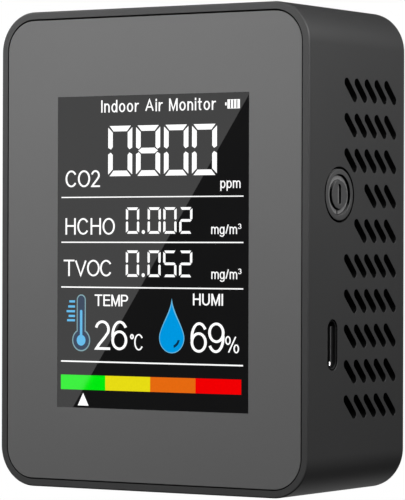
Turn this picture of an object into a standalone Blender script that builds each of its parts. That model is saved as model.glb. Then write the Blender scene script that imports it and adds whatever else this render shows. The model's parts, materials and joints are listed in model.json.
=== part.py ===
"""Carbon dioxide monitor: a desktop air-quality instrument, modelled as its real assembly.

Frame: metres, +Z up, +X to the user's right when they face the display, display on the -Y side.
Origin: centre of the flat base the instrument stands on.
Every dimension below is in millimetres and is turned into metres by MM.
"""

from math import cos, pi, radians, sin

import bmesh
import bpy
from mathutils import Matrix, Vector

MM = 0.001

# ---------------------------------------------------------------- driving dimensions (mm)
CASE_W, CASE_D, CASE_H = 68.0, 34.0, 88.0
CASE_R = 7.4                     # corner radius seen from the front
CASE_SEG = 8                     # segments in each of those corners
FRONT_Y, REAR_Y = -CASE_D / 2, CASE_D / 2
CASE_MID_Z = CASE_H / 2
WALL = 2.4                       # side walls
FRONT_WALL_IN_Y = -13.1
RECESS_FLOOR_Y = -15.15          # floor of the front panel's recess
REBATE_Y = 14.75                 # step at the back that the rear cover drops into
OVERCUT = 2.0                    # how far cutters run past the case's front and back

LCD_W, LCD_H, LCD_Z = 50.0, 69.2, 40.6     # display module outline and the height of its centre
LCD_BOTTOM = LCD_Z - LCD_H / 2

BUTTON_Y, BUTTON_Z = -6.65, 53.85
SWITCH_Y = -9.05
USB_Y, USB_Z = -8.92, 27.1
USB_H, USB_T, USB_L = 8.94, 3.26, 7.35     # receptacle shell: along Z, along Y, along X

BOARD_FRONT_Y, BOARD_BACK_Y = -7.25, -5.65
BOARD_GAP = 0.1                            # between the board and what is mounted on it
FRONT_SEAT_Y, BACK_SEAT_Y = BOARD_FRONT_Y - BOARD_GAP, BOARD_BACK_Y + BOARD_GAP
ROUND_SEAT_Y = BOARD_BACK_Y + 0.15         # the buzzer and the round gas sensor sit here

CO2_X, CO2_Z = -9.0, 68.0                  # centre of the CO2 module
PIN_PITCH, PIN_COUNT = 2.54, 5
PIN_XS = [CO2_X + (i - (PIN_COUNT - 1) / 2) * PIN_PITCH for i in range(PIN_COUNT)]
PIN_Z = CO2_Z - 8.5


def four_corners(half_width, low_z, high_z):
    """(x, z) places: upper left, upper right, lower left, lower right."""
    return [(side * half_width, z) for z in (high_z, low_z) for side in (-1, 1)]


BOSS_Z = 5.6
BOSSES = four_corners(28.4, BOSS_Z, CASE_H - BOSS_Z)   # take the rear screws
POSTS = four_corners(28.2, 17.0, 71.0)                 # carry the main board

FACE_XZ = (90, 0, 0)        # local x, y, z -> world X, Z, -Y
FACE_YZ = (90, 0, 90)       # local x, y, z -> world Y, Z, X
ALONG_X = (0, 90, 0)        # local z -> world X
ALONG_Y = (-90, 0, 0)       # local z -> world Y

# ---------------------------------------------------------------- clean start
for old in list(bpy.data.objects):
    bpy.data.objects.remove(old, do_unlink=True)

PARTS = bpy.data.collections.new("carbon_dioxide_monitor")
CUTTERS = bpy.data.collections.new("cutters")
bpy.context.scene.collection.children.link(PARTS)
bpy.context.scene.collection.children.link(CUTTERS)


def group(name, parent=None):
    empty = bpy.data.objects.new(name, None)
    empty.empty_display_size = 0.01
    PARTS.objects.link(empty)
    empty.parent = parent
    return empty


MONITOR = group("monitor")
CASE = group("case_group", MONITOR)
DISPLAY = group("display_group", MONITOR)
BOARD = group("board_group", MONITOR)
REAR = group("rear_group", MONITOR)


# ---------------------------------------------------------------- materials
def material(name, rgb, roughness, metallic=0.0):
    mat = bpy.data.materials.new(name)
    mat.use_nodes = True
    shader = mat.node_tree.nodes["Principled BSDF"]
    shader.inputs["Base Color"].default_value = (*rgb, 1.0)
    shader.inputs["Roughness"].default_value = roughness
    shader.inputs["Metallic"].default_value = metallic
    mat.diffuse_color = (*rgb, 1.0)
    return mat


CASE_PLASTIC = material("case_plastic", rgb=(0.040, 0.040, 0.042), roughness=0.45)
PANEL_ACRYLIC = material("panel_acrylic", rgb=(0.090, 0.090, 0.092), roughness=0.20)
BUTTON_PLASTIC = material("button_plastic", rgb=(0.045, 0.045, 0.047), roughness=0.45)
TAPE = material("black_tape", rgb=(0.02, 0.02, 0.02), roughness=0.9)
LCD_GLASS = material("lcd_glass", rgb=(0.01, 0.01, 0.012), roughness=0.08)
WHITE_PLASTIC = material("white_plastic", rgb=(0.8, 0.8, 0.78), roughness=0.5)
STEEL = material("steel", rgb=(0.62, 0.62, 0.63), roughness=0.3, metallic=1.0)
BOARD_GREEN = material("board_green", rgb=(0.02, 0.12, 0.05), roughness=0.4)
CHIP_BLACK = material("chip_black", rgb=(0.02, 0.02, 0.022), roughness=0.5)
GOLD = material("gold_plate", rgb=(0.83, 0.60, 0.25), roughness=0.25, metallic=1.0)
CREAM = material("connector_cream", rgb=(0.75, 0.70, 0.58), roughness=0.5)
POLYIMIDE = material("polyimide", rgb=(0.45, 0.22, 0.04), roughness=0.4)
POUCH = material("battery_pouch", rgb=(0.6, 0.6, 0.62), roughness=0.35, metallic=0.8)
WIRE_RED = material("wire_red", rgb=(0.5, 0.02, 0.02), roughness=0.5)
WIRE_BLACK = material("wire_black", rgb=(0.02, 0.02, 0.02), roughness=0.5)
LABEL = material("label_paper", rgb=(0.75, 0.75, 0.74), roughness=0.7)
MEMBRANE = material("membrane", rgb=(0.85, 0.85, 0.82), roughness=0.8)


# ---------------------------------------------------------------- placing and combining
def place(name, collection, mesh, loc, rot):
    obj = bpy.data.objects.new(name, mesh)
    collection.objects.link(obj)
    obj.location = Vector(loc) * MM
    obj.rotation_euler = tuple(radians(angle) for angle in rot)
    return obj


def put(name, parent, mat, mesh, loc=(0, 0, 0), rot=(0, 0, 0)):
    """A named part from a mesh; loc in mm, rot in degrees."""
    obj = place(name, PARTS, mesh, loc, rot)
    obj.parent = parent
    mesh.materials.clear()
    mesh.materials.append(mat)
    return obj


def combine(target, operation, name, mesh, loc, rot):
    """Boolean modifier on target, with a hidden helper as its operand."""
    helper = place(name, CUTTERS, mesh, loc, rot)
    helper.display_type = "WIRE"
    helper.hide_render = True
    modifier = target.modifiers.new(name, "BOOLEAN")
    modifier.operation = operation
    modifier.solver = "EXACT"
    modifier.object = helper
    return modifier


def cut(target, name, mesh, loc=(0, 0, 0), rot=(0, 0, 0)):
    return combine(target, "DIFFERENCE", name, mesh, loc, rot)


def add(target, name, mesh, loc=(0, 0, 0), rot=(0, 0, 0)):
    return combine(target, "UNION", name, mesh, loc, rot)


# ---------------------------------------------------------------- solid shapes
def finish(bm, name):
    mesh = bpy.data.meshes.new(name)
    bm.to_mesh(mesh)
    bm.free()
    return mesh


def round_edges(bm, edges, radius, segments):
    bmesh.ops.bevel(bm, geom=edges, offset=radius * MM, offset_type="OFFSET", segments=segments,
                    profile=0.5, affect="EDGES", clamp_overlap=False)


def box(size, corner_r=0.0, corner_seg=1, low_r=0.0, high_r=0.0, edge_seg=1, axis="Y"):
    """Box centred on its origin. corner_r rounds the four edges along axis;
    low_r and high_r then round the outlines of the end faces at the low and high end of axis."""
    k = "XYZ".index(axis)
    bm = bmesh.new()
    bmesh.ops.create_cube(bm, size=1.0)
    bmesh.ops.scale(bm, vec=Vector(size) * MM, verts=bm.verts)
    if corner_r:
        edges = [e for e in bm.edges if abs(e.verts[0].co[k] - e.verts[1].co[k]) > 1e-7]
        round_edges(bm, edges, corner_r, corner_seg)
    half = size[k] / 2 * MM
    for end, radius in ((-half, low_r), (half, high_r)):
        if radius:
            edges = [e for e in bm.edges if all(abs(v.co[k] - end) < 1e-7 for v in e.verts)]
            round_edges(bm, edges, radius, edge_seg)
    return finish(bm, "box")


def case_slab(inset, front_y, back_y, **end_rounding):
    """Mesh and location of a slab whose outline is the case's, moved inwards by inset."""
    size = (CASE_W - 2 * inset, back_y - front_y, CASE_H - 2 * inset)
    mesh = box(size, CASE_R - inset, CASE_SEG, **end_rounding)
    return mesh, (0, (front_y + back_y) / 2, CASE_MID_Z)


def back_mounted(size, x, z, **rounding):
    """Mesh and location of a box seated on the back of the main board."""
    return box(size, **rounding), (x, BACK_SEAT_Y + size[1] / 2, z)


def rods(items, axis, sides):
    """Separate cylinders as one mesh, each (centre, radius, length), along one axis."""
    turn = Matrix.Rotation(pi / 2, 4, {"X": "Y", "Y": "X"}[axis])
    bm = bmesh.new()
    for centre, radius, length in items:
        bmesh.ops.create_cone(bm, cap_ends=True, cap_tris=False, segments=sides,
                              radius1=radius * MM, radius2=radius * MM, depth=length * MM,
                              matrix=Matrix.Translation(Vector(centre) * MM) @ turn)
    return finish(bm, "rods")


def y_items(places, radius, front_y, back_y):
    """Items for rods: one along Y, from front_y to back_y, at each (x, z) place."""
    return [((x, (front_y + back_y) / 2, z), radius, back_y - front_y) for x, z in places]


def around(middle, half):
    return (middle - half, middle + half)


def blocks(items):
    """Separate boxes as one mesh, each ((x0, x1), (y0, y1), (z0, z1))."""
    bm = bmesh.new()
    for spans in items:
        size = Vector([high - low for low, high in spans]) * MM
        middle = Vector([low + high for low, high in spans]) * MM / 2
        bmesh.ops.create_cube(bm, size=1.0,
                              matrix=Matrix.Translation(middle) @ Matrix.Diagonal((*size, 1.0)))
    return finish(bm, "blocks")


def turned(name, parent, mat, profile, steps, loc, rot):
    """Solid of revolution about local z, from (r, z) points down its outer side."""
    bm = bmesh.new()
    verts = [bm.verts.new((r * MM, 0, z * MM)) for r, z in profile]
    for start, end in zip(verts, verts[1:]):
        bm.edges.new((start, end))
    obj = put(name, parent, mat, finish(bm, name), loc, rot)
    modifier = obj.modifiers.new("turn", "SCREW")
    modifier.axis = "Z"
    modifier.angle = 2 * pi
    modifier.steps = steps
    modifier.render_steps = steps
    modifier.use_merge_vertices = True
    modifier.merge_threshold = 0.00002
    modifier.use_smooth_shade = False
    return obj


def screw(name, parent, loc, head_r, head_t, shank_r, shank_l):
    """Pan-head screw along +Y, head underside at its origin, head towards local +z."""
    profile = [(0, head_t), (head_r * 0.55, head_t), (head_r * 0.9, head_t * 0.7),
               (head_r, head_t * 0.3), (head_r, 0), (shank_r, 0), (shank_r, -shank_l + 0.6),
               (shank_r * 0.3, -shank_l), (0, -shank_l)]
    obj = turned(name, parent, STEEL, profile, 12, loc, ALONG_Y)
    long, short, deep = (around(0, half) for half in (head_r * 0.6, head_r * 0.2, head_t * 0.55))
    cross = blocks([(long, short, deep), (short, long, deep)])
    modifier = cut(obj, name + "_drive_cut", cross, (0, 0, head_t))
    modifier.use_self = True        # the two arms of the cross overlap
    modifier.object.parent = obj


# ---------------------------------------------------------------- flat outlines
def rounded_rect(width, height, radius, seg, cx=0.0, cy=0.0):
    """Outline of a rounded rectangle; radius = half the short side gives a stadium."""
    def same(a, b):
        return abs(a[0] - b[0]) + abs(a[1] - b[1]) < 1e-5

    points = []
    for side_x, side_y, start in ((1, 1, 0), (-1, 1, 90), (-1, -1, 180), (1, -1, 270)):
        for i in range(seg + 1):
            angle = radians(start + 90.0 * i / seg)
            point = (cx + side_x * (width / 2 - radius) + radius * cos(angle),
                     cy + side_y * (height / 2 - radius) + radius * sin(angle))
            if not points or not same(point, points[-1]):
                points.append(point)
    if same(points[0], points[-1]):
        points.pop()
    return points


def circle(radius, sides, cx, cy):
    angles = [2 * pi * i / sides for i in range(sides)]
    return [(cx + radius * cos(angle), cy + radius * sin(angle)) for angle in angles]


def slanted_slot(cx, cy, length, width, tilt, seg=3):
    """Stadium whose long axis leans tilt degrees from +y towards -x."""
    lean = radians(tilt)
    long_axis = Vector((-sin(lean), cos(lean)))
    points = []
    for side, turn in ((1, 0), (-1, pi)):
        centre = Vector((cx, cy)) + long_axis * side * (length - width) / 2
        for i in range(seg + 1):
            angle = lean + pi * i / seg + turn
            points.append((centre.x + width / 2 * cos(angle), centre.y + width / 2 * sin(angle)))
    return points


def from_curve(curve):
    """Welded mesh of a curve; the temporary curve object is removed."""
    obj = bpy.data.objects.new("curve", curve)
    PARTS.objects.link(obj)
    bpy.context.view_layer.update()
    evaluated = obj.evaluated_get(bpy.context.evaluated_depsgraph_get())
    mesh = bpy.data.meshes.new_from_object(evaluated)
    bpy.data.objects.remove(obj)
    bm = bmesh.new()
    bm.from_mesh(mesh)
    bmesh.ops.remove_doubles(bm, verts=bm.verts, dist=1e-7)
    bmesh.ops.recalc_face_normals(bm, faces=bm.faces)
    bm.to_mesh(mesh)
    bm.free()
    return mesh


def flat(outlines, thickness):
    """Mesh of a flat outline, with inner outlines as holes, extruded along local z."""
    curve = bpy.data.curves.new("outline", "CURVE")
    curve.dimensions = "2D"
    curve.fill_mode = "BOTH"
    curve.extrude = thickness / 2 * MM
    for outline in outlines:
        spline = curve.splines.new("POLY")
        spline.points.add(len(outline) - 1)
        for point, (x, y) in zip(spline.points, outline):
            point.co = (x * MM, y * MM, 0.0, 1.0)
        spline.use_cyclic_u = True
    return from_curve(curve)


# ---------------------------------------------------------------- main housing
PANEL_RIM = 1.35                 # rim left around the front panel's recess
REBATE_INSET = 1.5
WALL_CUT_X, WALL_CUT_T = 32.9, 4.0   # cutters through a side wall: middle and thickness
BUTTON_HOLE_R = 5.0
PORT_CLEARANCE = 0.16            # added to the USB shell's size
MOUNT_ROOT_Y = -13.8             # bosses and posts start inside the front wall

SLOT_COLS, SLOT_ROWS = 5, 10     # slanted vent slots in each side wall, from the top front one
SLOT_Y0, SLOT_DY = -2.85, 3.475
SLOT_Z0, SLOT_DZ = 72.66, 6.31
SLOT_LEN, SLOT_WID, SLOT_TILT = 5.45, 1.55, 45.0
RIGHT_GAPS = {(3, 0), (3, 1), (4, 0)}   # (row, column) left out where the power button sits


def cut_side_walls(housing):
    for side, name, gaps in ((1, "right_slot_cut", RIGHT_GAPS), (-1, "left_slot_cut", ())):
        slots = [slanted_slot(SLOT_Y0 + col * SLOT_DY, SLOT_Z0 - row * SLOT_DZ,
                              SLOT_LEN, SLOT_WID, SLOT_TILT)
                 for row in range(SLOT_ROWS) for col in range(SLOT_COLS) if (row, col) not in gaps]
        cut(housing, name, flat(slots, WALL_CUT_T), (side * WALL_CUT_X, 0, 0), FACE_YZ)
    port_t, port_h = USB_T + PORT_CLEARANCE, USB_H + PORT_CLEARANCE
    holes = [circle(BUTTON_HOLE_R, 40, BUTTON_Y, BUTTON_Z),
             rounded_rect(port_t, port_h, port_t / 2, 5, USB_Y, USB_Z)]
    cut(housing, "button_and_port_cut", flat(holes, WALL_CUT_T), (WALL_CUT_X, 0, 0), FACE_YZ)


def add_mounts(housing):
    """Corner bosses and board posts, with the bores for their screws."""
    add(housing, "boss_add", rods(y_items(BOSSES, 2.7, MOUNT_ROOT_Y, REBATE_Y), "Y", 16))
    add(housing, "post_add", rods(y_items(POSTS, 2.2, MOUNT_ROOT_Y, FRONT_SEAT_Y), "Y", 12))
    bores = y_items(BOSSES, 1.0, 6.0, 16.0) + y_items(POSTS, 0.85, -12.85, -6.85)
    cut(housing, "screw_bore_cut", rods(bores, "Y", 10))


def build_housing():
    housing = put("main_housing", CASE, CASE_PLASTIC,
                  *case_slab(0, FRONT_Y, REAR_Y, low_r=0.3, high_r=1.4, edge_seg=2))
    cut(housing, "cavity_cut", *case_slab(WALL, FRONT_WALL_IN_Y, REAR_Y + OVERCUT))
    cut(housing, "rebate_cut", *case_slab(REBATE_INSET, REBATE_Y, REAR_Y + OVERCUT))
    cut(housing, "panel_recess_cut", *case_slab(PANEL_RIM, FRONT_Y - OVERCUT, RECESS_FLOOR_Y))
    opening = box((LCD_W + 1.0, 4.0, LCD_H + 1.0))
    cut(housing, "display_opening_cut", opening, (0, -14.0, LCD_Z))
    cut_side_walls(housing)
    add_mounts(housing)


# ---------------------------------------------------------------- front panel and its adhesive
PANEL_INSET = PANEL_RIM + 0.3    # the panel stands 0.3 clear of the rim
PANEL_FRONT_Y, PANEL_T = -16.9, 1.25
TAPE_Y, TAPE_T = -15.4, 0.3      # tape layer behind the panel: middle and thickness
ADHESIVE_INSET = PANEL_INSET + 0.25


def build_front_panel():
    put("front_panel", CASE, PANEL_ACRYLIC,
        *case_slab(PANEL_INSET, PANEL_FRONT_Y, PANEL_FRONT_Y + PANEL_T, low_r=0.2))
    outer = rounded_rect(CASE_W - 2 * ADHESIVE_INSET, CASE_H - 2 * ADHESIVE_INSET,
                         CASE_R - ADHESIVE_INSET, 5, 0, CASE_MID_Z)
    window = rounded_rect(51.8, 71.2, 1.0, 2, 0, LCD_Z)
    put("panel_adhesive", CASE, TAPE, flat([outer, window], TAPE_T), (0, TAPE_Y, 0), FACE_XZ)


# ---------------------------------------------------------------- display module
VIEW_W, VIEW_H, VIEW_Z = 43.2, 57.6, 43.5  # active area and the height of its centre
VIEW_MARGIN = 1.8                          # gasket window, larger than the active area
TRAY_FRONT_Y, TRAY_BACK_Y, TRAY_T = RECESS_FLOOR_Y, -12.65, 0.25
TRAY_IN_W, TRAY_IN_H = LCD_W - 2 * TRAY_T, LCD_H - 2 * TRAY_T
GLASS_T = 0.9

RIBBON_W, RIBBON_T = 20.0, 0.2
RIBBON_START_Y, RIBBON_END_Z = -14.05, 14.2
RIBBON_Z = LCD_BOTTOM + 1.7                # height of its straight run out of the display
BEND_Y, BEND_R, BEND_SEG = -10.85, 2.8, 6  # where the bend starts, its radius and segments


def build_gasket():
    outer = rounded_rect(LCD_W - 0.6, LCD_H - 0.6, 0.5, 1, 0, LCD_Z)
    window = rounded_rect(VIEW_W + VIEW_MARGIN, VIEW_H + VIEW_MARGIN, 0.5, 1, 0, VIEW_Z)
    put("display_gasket", DISPLAY, TAPE, flat([outer, window], TAPE_T), (0, TAPE_Y, 0), FACE_XZ)


def build_display_frame():
    """Steel tray, open at the front, with a notch at the bottom that the ribbon leaves by."""
    tray = put("display_frame", DISPLAY, STEEL,
               box((LCD_W, TRAY_BACK_Y - TRAY_FRONT_Y, LCD_H), 0.6, 2),
               (0, (TRAY_FRONT_Y + TRAY_BACK_Y) / 2, LCD_Z))
    pocket_depth = 5.0
    cut(tray, "tray_pocket_cut", box((TRAY_IN_W, pocket_depth, TRAY_IN_H)),
        (0, TRAY_BACK_Y - TRAY_T - pocket_depth / 2, LCD_Z))
    notch = ((-11.5, 11.5), (-14.35, -12.05), (LCD_BOTTOM - 1, LCD_BOTTOM + 3.2))
    cut(tray, "tray_notch_cut", blocks([notch]))


def build_display_layers():
    put("lcd_glass", DISPLAY, LCD_GLASS, box((TRAY_IN_W - 0.2, GLASS_T, TRAY_IN_H - 0.2)),
        (0, TRAY_FRONT_Y + GLASS_T / 2, LCD_Z))
    put("lcd_backlight", DISPLAY, WHITE_PLASTIC, box((TRAY_IN_W - 0.3, 1.1, LCD_H - 4.2)),
        (0, -13.6, LCD_Z + 1.75))


def build_ribbon():
    """Flexible tail: straight back out of the display, then a bend up to the connector."""
    path = [(RIBBON_START_Y, RIBBON_Z), (BEND_Y, RIBBON_Z)]
    for i in range(1, BEND_SEG + 1):
        angle = radians(90.0 * i / BEND_SEG)
        path.append((BEND_Y + BEND_R * sin(angle), RIBBON_Z + BEND_R - BEND_R * cos(angle)))
    path.append((BEND_Y + BEND_R, RIBBON_END_Z))
    bm = bmesh.new()
    row = [bm.verts.new((-RIBBON_W / 2 * MM, y * MM, z * MM)) for y, z in path]
    edges = [bm.edges.new((start, end)) for start, end in zip(row, row[1:])]
    grown = bmesh.ops.extrude_edge_only(bm, edges=edges)["geom"]
    bmesh.ops.translate(bm, vec=(RIBBON_W * MM, 0, 0),
                        verts=[item for item in grown if isinstance(item, bmesh.types.BMVert)])
    ribbon = put("display_ribbon", DISPLAY, POLYIMIDE, finish(bm, "display_ribbon"))
    modifier = ribbon.modifiers.new("thickness", "SOLIDIFY")
    modifier.thickness = RIBBON_T * MM
    modifier.offset = 0.0


def build_ribbon_connector():
    """Connector on the front of the board, its mouth facing down to the ribbon."""
    depth = 1.5
    connector = put("ribbon_connector", BOARD, CREAM, box((22.0, depth, 4.4)),
                    (0, FRONT_SEAT_Y - depth / 2, 15.2))
    cut(connector, "connector_mouth_cut", blocks([((-10.2, 10.2), (-8.3, -7.8), (12.0, 15.2))]))


# ---------------------------------------------------------------- main board
BOARD_W, BOARD_Z0, BOARD_Z1 = 61.8, 3.1, 84.9
BOARD_NOTCH = 6.0                             # square corner notches for the bosses
BUTTON_NOTCH, BUTTON_NOTCH_HALF = 1.6, 7.0    # notch behind the button: depth, half height


def board_outline():
    x_out, z0, z1 = BOARD_W / 2, BOARD_Z0, BOARD_Z1
    x_in, z0_in, z1_in = x_out - BOARD_NOTCH, z0 + BOARD_NOTCH, z1 - BOARD_NOTCH
    x_button = x_out - BUTTON_NOTCH
    low, high = around(BUTTON_Z, BUTTON_NOTCH_HALF)
    return [(-x_in, z0), (x_in, z0), (x_in, z0_in), (x_out, z0_in),
            (x_out, low), (x_button, low), (x_button, high), (x_out, high),
            (x_out, z1_in), (x_in, z1_in), (x_in, z1), (-x_in, z1),
            (-x_in, z1_in), (-x_out, z1_in), (-x_out, z0_in), (-x_in, z0_in)]


def pin_holes():
    return [circle(0.5, 8, x, PIN_Z) for x in PIN_XS]


def build_main_board():
    mount_holes = [circle(1.15, 12, x, z) for x, z in POSTS]
    put("main_board", BOARD, BOARD_GREEN,
        flat([board_outline()] + mount_holes + pin_holes(), BOARD_BACK_Y - BOARD_FRONT_Y),
        (0, (BOARD_FRONT_Y + BOARD_BACK_Y) / 2, 0), FACE_XZ)
    for i, (x, z) in enumerate(POSTS, 1):
        screw(f"board_screw_{i}", BOARD, (x, BACK_SEAT_Y, z),
              head_r=1.9, head_t=1.2, shank_r=0.78, shank_l=6.6)


# ---------------------------------------------------------------- USB port, switch and button
USB_SHELL_T = 0.3
USB_X = 33.75 - USB_L / 2        # the shell's mouth is at x = 33.75
SWITCH_DEPTH = 3.4
BUTTON_R, FLANGE_R = 4.85, 5.6


def build_usb_port():
    """USB-C receptacle: a drawn steel shell and the moulded tongue inside it."""
    in_t, in_h = USB_T - 2 * USB_SHELL_T, USB_H - 2 * USB_SHELL_T
    shell = flat([rounded_rect(USB_T, USB_H, USB_T / 2, 5),
                  rounded_rect(in_t, in_h, in_t / 2, 5)], USB_L)
    centre = (USB_X, USB_Y, USB_Z)
    put("usb_c_shell", BOARD, STEEL, shell, centre, FACE_YZ)
    x_in, x_out = around(USB_X, USB_L / 2)
    root = blocks([((-USB_L / 2 + 0.2, -USB_L / 2 + 2.0), around(0, 1.15), around(0, 3.4))])
    tongue = put("usb_c_tongue", BOARD, CHIP_BLACK, root, centre)
    blade = ((x_in + 1.5, x_out - 0.9), around(USB_Y, 0.35), around(USB_Z, 3.3))
    add(tongue, "tongue_add", blocks([blade]))


def build_tact_switch():
    """Side-push switch behind the power button."""
    base = put("tact_switch_base", BOARD, CHIP_BLACK, box((3.6, SWITCH_DEPTH, 6.0), 0.3, 1),
               (26.4, SWITCH_Y, BUTTON_Z))
    cut(base, "tact_bore_cut", rods([((28.0, SWITCH_Y, BUTTON_Z), 1.0, 2.8)], "X", 16))
    profile = [(0, 0), (0.75, 0), (0.9, -0.15), (0.9, -2.4), (0, -2.4)]
    turned("tact_switch_plunger", BOARD, WHITE_PLASTIC, profile, 16,
           (29.4, SWITCH_Y, BUTTON_Z), ALONG_X)


def build_power_button():
    """Turned cap with a retaining flange behind the wall, a ring groove and a bar in its face,
    and an off-axis stem towards the switch. Its origin is on the axis it slides along."""
    profile = [(0, 0), (2.75, 0), (2.75, -0.25), (3.55, -0.25), (3.55, 0), (4.65, 0),
               (BUTTON_R, -0.2), (BUTTON_R, -2.6), (FLANGE_R, -2.6), (FLANGE_R, -3.4), (0, -3.4)]
    button = turned("power_button", CASE, BUTTON_PLASTIC, profile, 40,
                    (CASE_W / 2, BUTTON_Y, BUTTON_Z), ALONG_X)
    bar = ((33.75, 34.5), around(BUTTON_Y, 0.28), around(BUTTON_Z, 1.75))
    cut(button, "bar_mark_cut", blocks([bar]))
    add(button, "stem_add", rods([((30.13, SWITCH_Y, BUTTON_Z), 1.2, 1.34)], "X", 12))


# ---------------------------------------------------------------- sensors
CHAMBER_X, CHAMBER_Y, CHAMBER_Z = CO2_X + 1.0, 0.6, CO2_Z + 1.6
CHAMBER_D = 6.0
VOC_X, VOC_Z = 19.5, 66.0
VOC_HOLES, VOC_HOLE_RING_R = 6, 2.2


def build_co2_module():
    """Its own small board on a pin header, a plated optical chamber and a gas membrane."""
    outline = rounded_rect(33.0, 20.0, 0.8, 1, CO2_X, CO2_Z)
    put("co2_sensor_board", BOARD, BOARD_GREEN, flat([outline] + pin_holes(), 1.0),
        (0, -3.05, 0), FACE_XZ)
    header = put("co2_sensor_header", BOARD, CHIP_BLACK,
                 *back_mounted((12.6, 1.9, 2.4), CO2_X, PIN_Z))
    pins = [(around(x, 0.25), (-7.95, -2.05), around(PIN_Z, 0.25)) for x in PIN_XS]
    add(header, "header_pins_add", blocks(pins))
    chamber = put("co2_sensor_chamber", BOARD, GOLD,
                  box((25.0, CHAMBER_D, 14.0), 1.2, 3, high_r=0.5),
                  (CHAMBER_X, CHAMBER_Y, CHAMBER_Z))
    cut(chamber, "membrane_pocket_cut", box((15.0, 1.2, 6.4), 0.6, 2),
        (CHAMBER_X, CHAMBER_Y + CHAMBER_D / 2, CHAMBER_Z))
    put("co2_sensor_membrane", BOARD, MEMBRANE, box((14.4, 0.4, 5.8), 0.5, 2),
        (CHAMBER_X, 3.3, CHAMBER_Z))


def build_voc_sensor():
    """Formaldehyde and volatile-compound sensor: a can with gas holes, on a moulded base."""
    turned("voc_sensor_base", BOARD, CHIP_BLACK, [(0, 0.7), (5.2, 0.7), (5.2, 0), (0, 0)], 24,
           (VOC_X, ROUND_SEAT_Y, VOC_Z), ALONG_Y)
    can = turned("voc_sensor_can", BOARD, STEEL,
                 [(0, 4.4), (4.1, 4.4), (4.6, 3.9), (4.6, 0), (0, 0)], 24,
                 (VOC_X, -4.7, VOC_Z), ALONG_Y)
    holes = circle(VOC_HOLE_RING_R, VOC_HOLES, VOC_X, VOC_Z)
    cut(can, "can_hole_cut", rods(y_items(holes, 0.55, -1.05, 0.55), "Y", 8))


def build_temp_sensor():
    x, z = -26.0, 38.0
    sensor = put("temp_humidity_sensor", BOARD, CHIP_BLACK, *back_mounted((3.4, 1.2, 3.4), x, z))
    cut(sensor, "sensor_port_cut", rods(y_items([(x, z)], 0.7, -4.75, -3.75), "Y", 12))


# ---------------------------------------------------------------- other board components
def build_small_components():
    put("microcontroller", BOARD, CHIP_BLACK,
        *back_mounted((7.0, 1.4, 7.0), -6.0, 48.0, corner_r=0.5, high_r=0.2))
    put("charger_chip", BOARD, CHIP_BLACK, *back_mounted((5.0, 1.5, 4.0), 21.0, 20.0))
    put("power_inductor", BOARD, CHIP_BLACK,
        *back_mounted((5.2, 2.8, 5.2), 12.0, 20.0, corner_r=1.2, corner_seg=2))
    put("crystal_can", BOARD, STEEL,
        *back_mounted((5.0, 1.2, 3.2), -15.5, 40.0, corner_r=0.6, corner_seg=2))


def build_buzzer():
    x, z = 22.0, 36.0
    buzzer = turned("buzzer", BOARD, CHIP_BLACK,
                    [(0, 5.0), (4.4, 5.0), (4.8, 4.6), (4.8, 0), (0, 0)], 24,
                    (x, ROUND_SEAT_Y, z), ALONG_Y)
    cut(buzzer, "buzzer_hole_cut", rods(y_items([(x, z)], 0.9, -1.65, 0.75), "Y", 12))


# ---------------------------------------------------------------- battery and its connection
SOCKET_X, SOCKET_Z = -20.0, 50.0
CELL_Y, CELL_Z = 11.2, 25.0
LEAD_R = 0.6
LEAD_START_Y, LEAD_END_Z = 1.25, 42.3      # behind the plug; just above the cell's top edge
LEAD_PULL_BACK, LEAD_PULL_UP = 8.0, 7.0    # handles of the S: back from the plug, up from the cell
LEAD_SPANS = 9


def build_battery_connector():
    """The socket is a cup on the board and the plug stands in it."""
    size = (6.4, 5.0, 4.6)
    mesh, (x, y, z) = back_mounted(size, SOCKET_X, SOCKET_Z)
    socket = put("battery_socket", BOARD, CREAM, mesh, (x, y, z))
    cut(socket, "socket_cup_cut", box((5.2, size[1], 3.4)), (x, y + 1.0, z))
    put("battery_plug", BOARD, CREAM, box((4.9, 5.4, 3.1)), (x, -1.65, z))


def build_lead(name, plug_dx, end_x, mat):
    """One battery lead: a smooth S from the plug to the cell's top edge."""
    start = Vector((SOCKET_X + plug_dx, LEAD_START_Y, SOCKET_Z))
    end = Vector((end_x, CELL_Y, LEAD_END_Z))
    start_pull = start + Vector((0, LEAD_PULL_BACK, 0))
    end_pull = end + Vector((0, 0, LEAD_PULL_UP))
    curve = bpy.data.curves.new(name, "CURVE")
    curve.dimensions = "3D"
    curve.bevel_depth = LEAD_R * MM
    curve.bevel_resolution = 1
    curve.use_fill_caps = True
    spline = curve.splines.new("POLY")
    spline.points.add(LEAD_SPANS)
    for i, point in enumerate(spline.points):
        t = i / LEAD_SPANS
        place_on_s = (start * (1 - t) ** 3 + start_pull * 3 * t * (1 - t) ** 2
                      + end_pull * 3 * t * t * (1 - t) + end * t ** 3)
        point.co = (*(place_on_s * MM), 1.0)
    mesh = put(name, REAR, mat, from_curve(curve)).data
    mesh.shade_smooth()
    mesh.set_sharp_from_angle(angle=radians(50))


def build_battery():
    cell = box((50.0, 6.0, 34.0), 1.5, 3, low_r=1.0, high_r=1.0, axis="X")
    put("battery_cell", REAR, POUCH, cell, (0, CELL_Y, CELL_Z))
    put("battery_pad", REAR, TAPE, box((40.0, 0.5, 24.0)), (0, 14.5, CELL_Z))


# ---------------------------------------------------------------- rear cover
COVER_INSET, COVER_FRONT_Y, COVER_BACK_Y = 1.65, 14.85, REAR_Y
LABEL_Z = 30.0
RIB_SPAN_Y = (11.0, 15.2)


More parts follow.
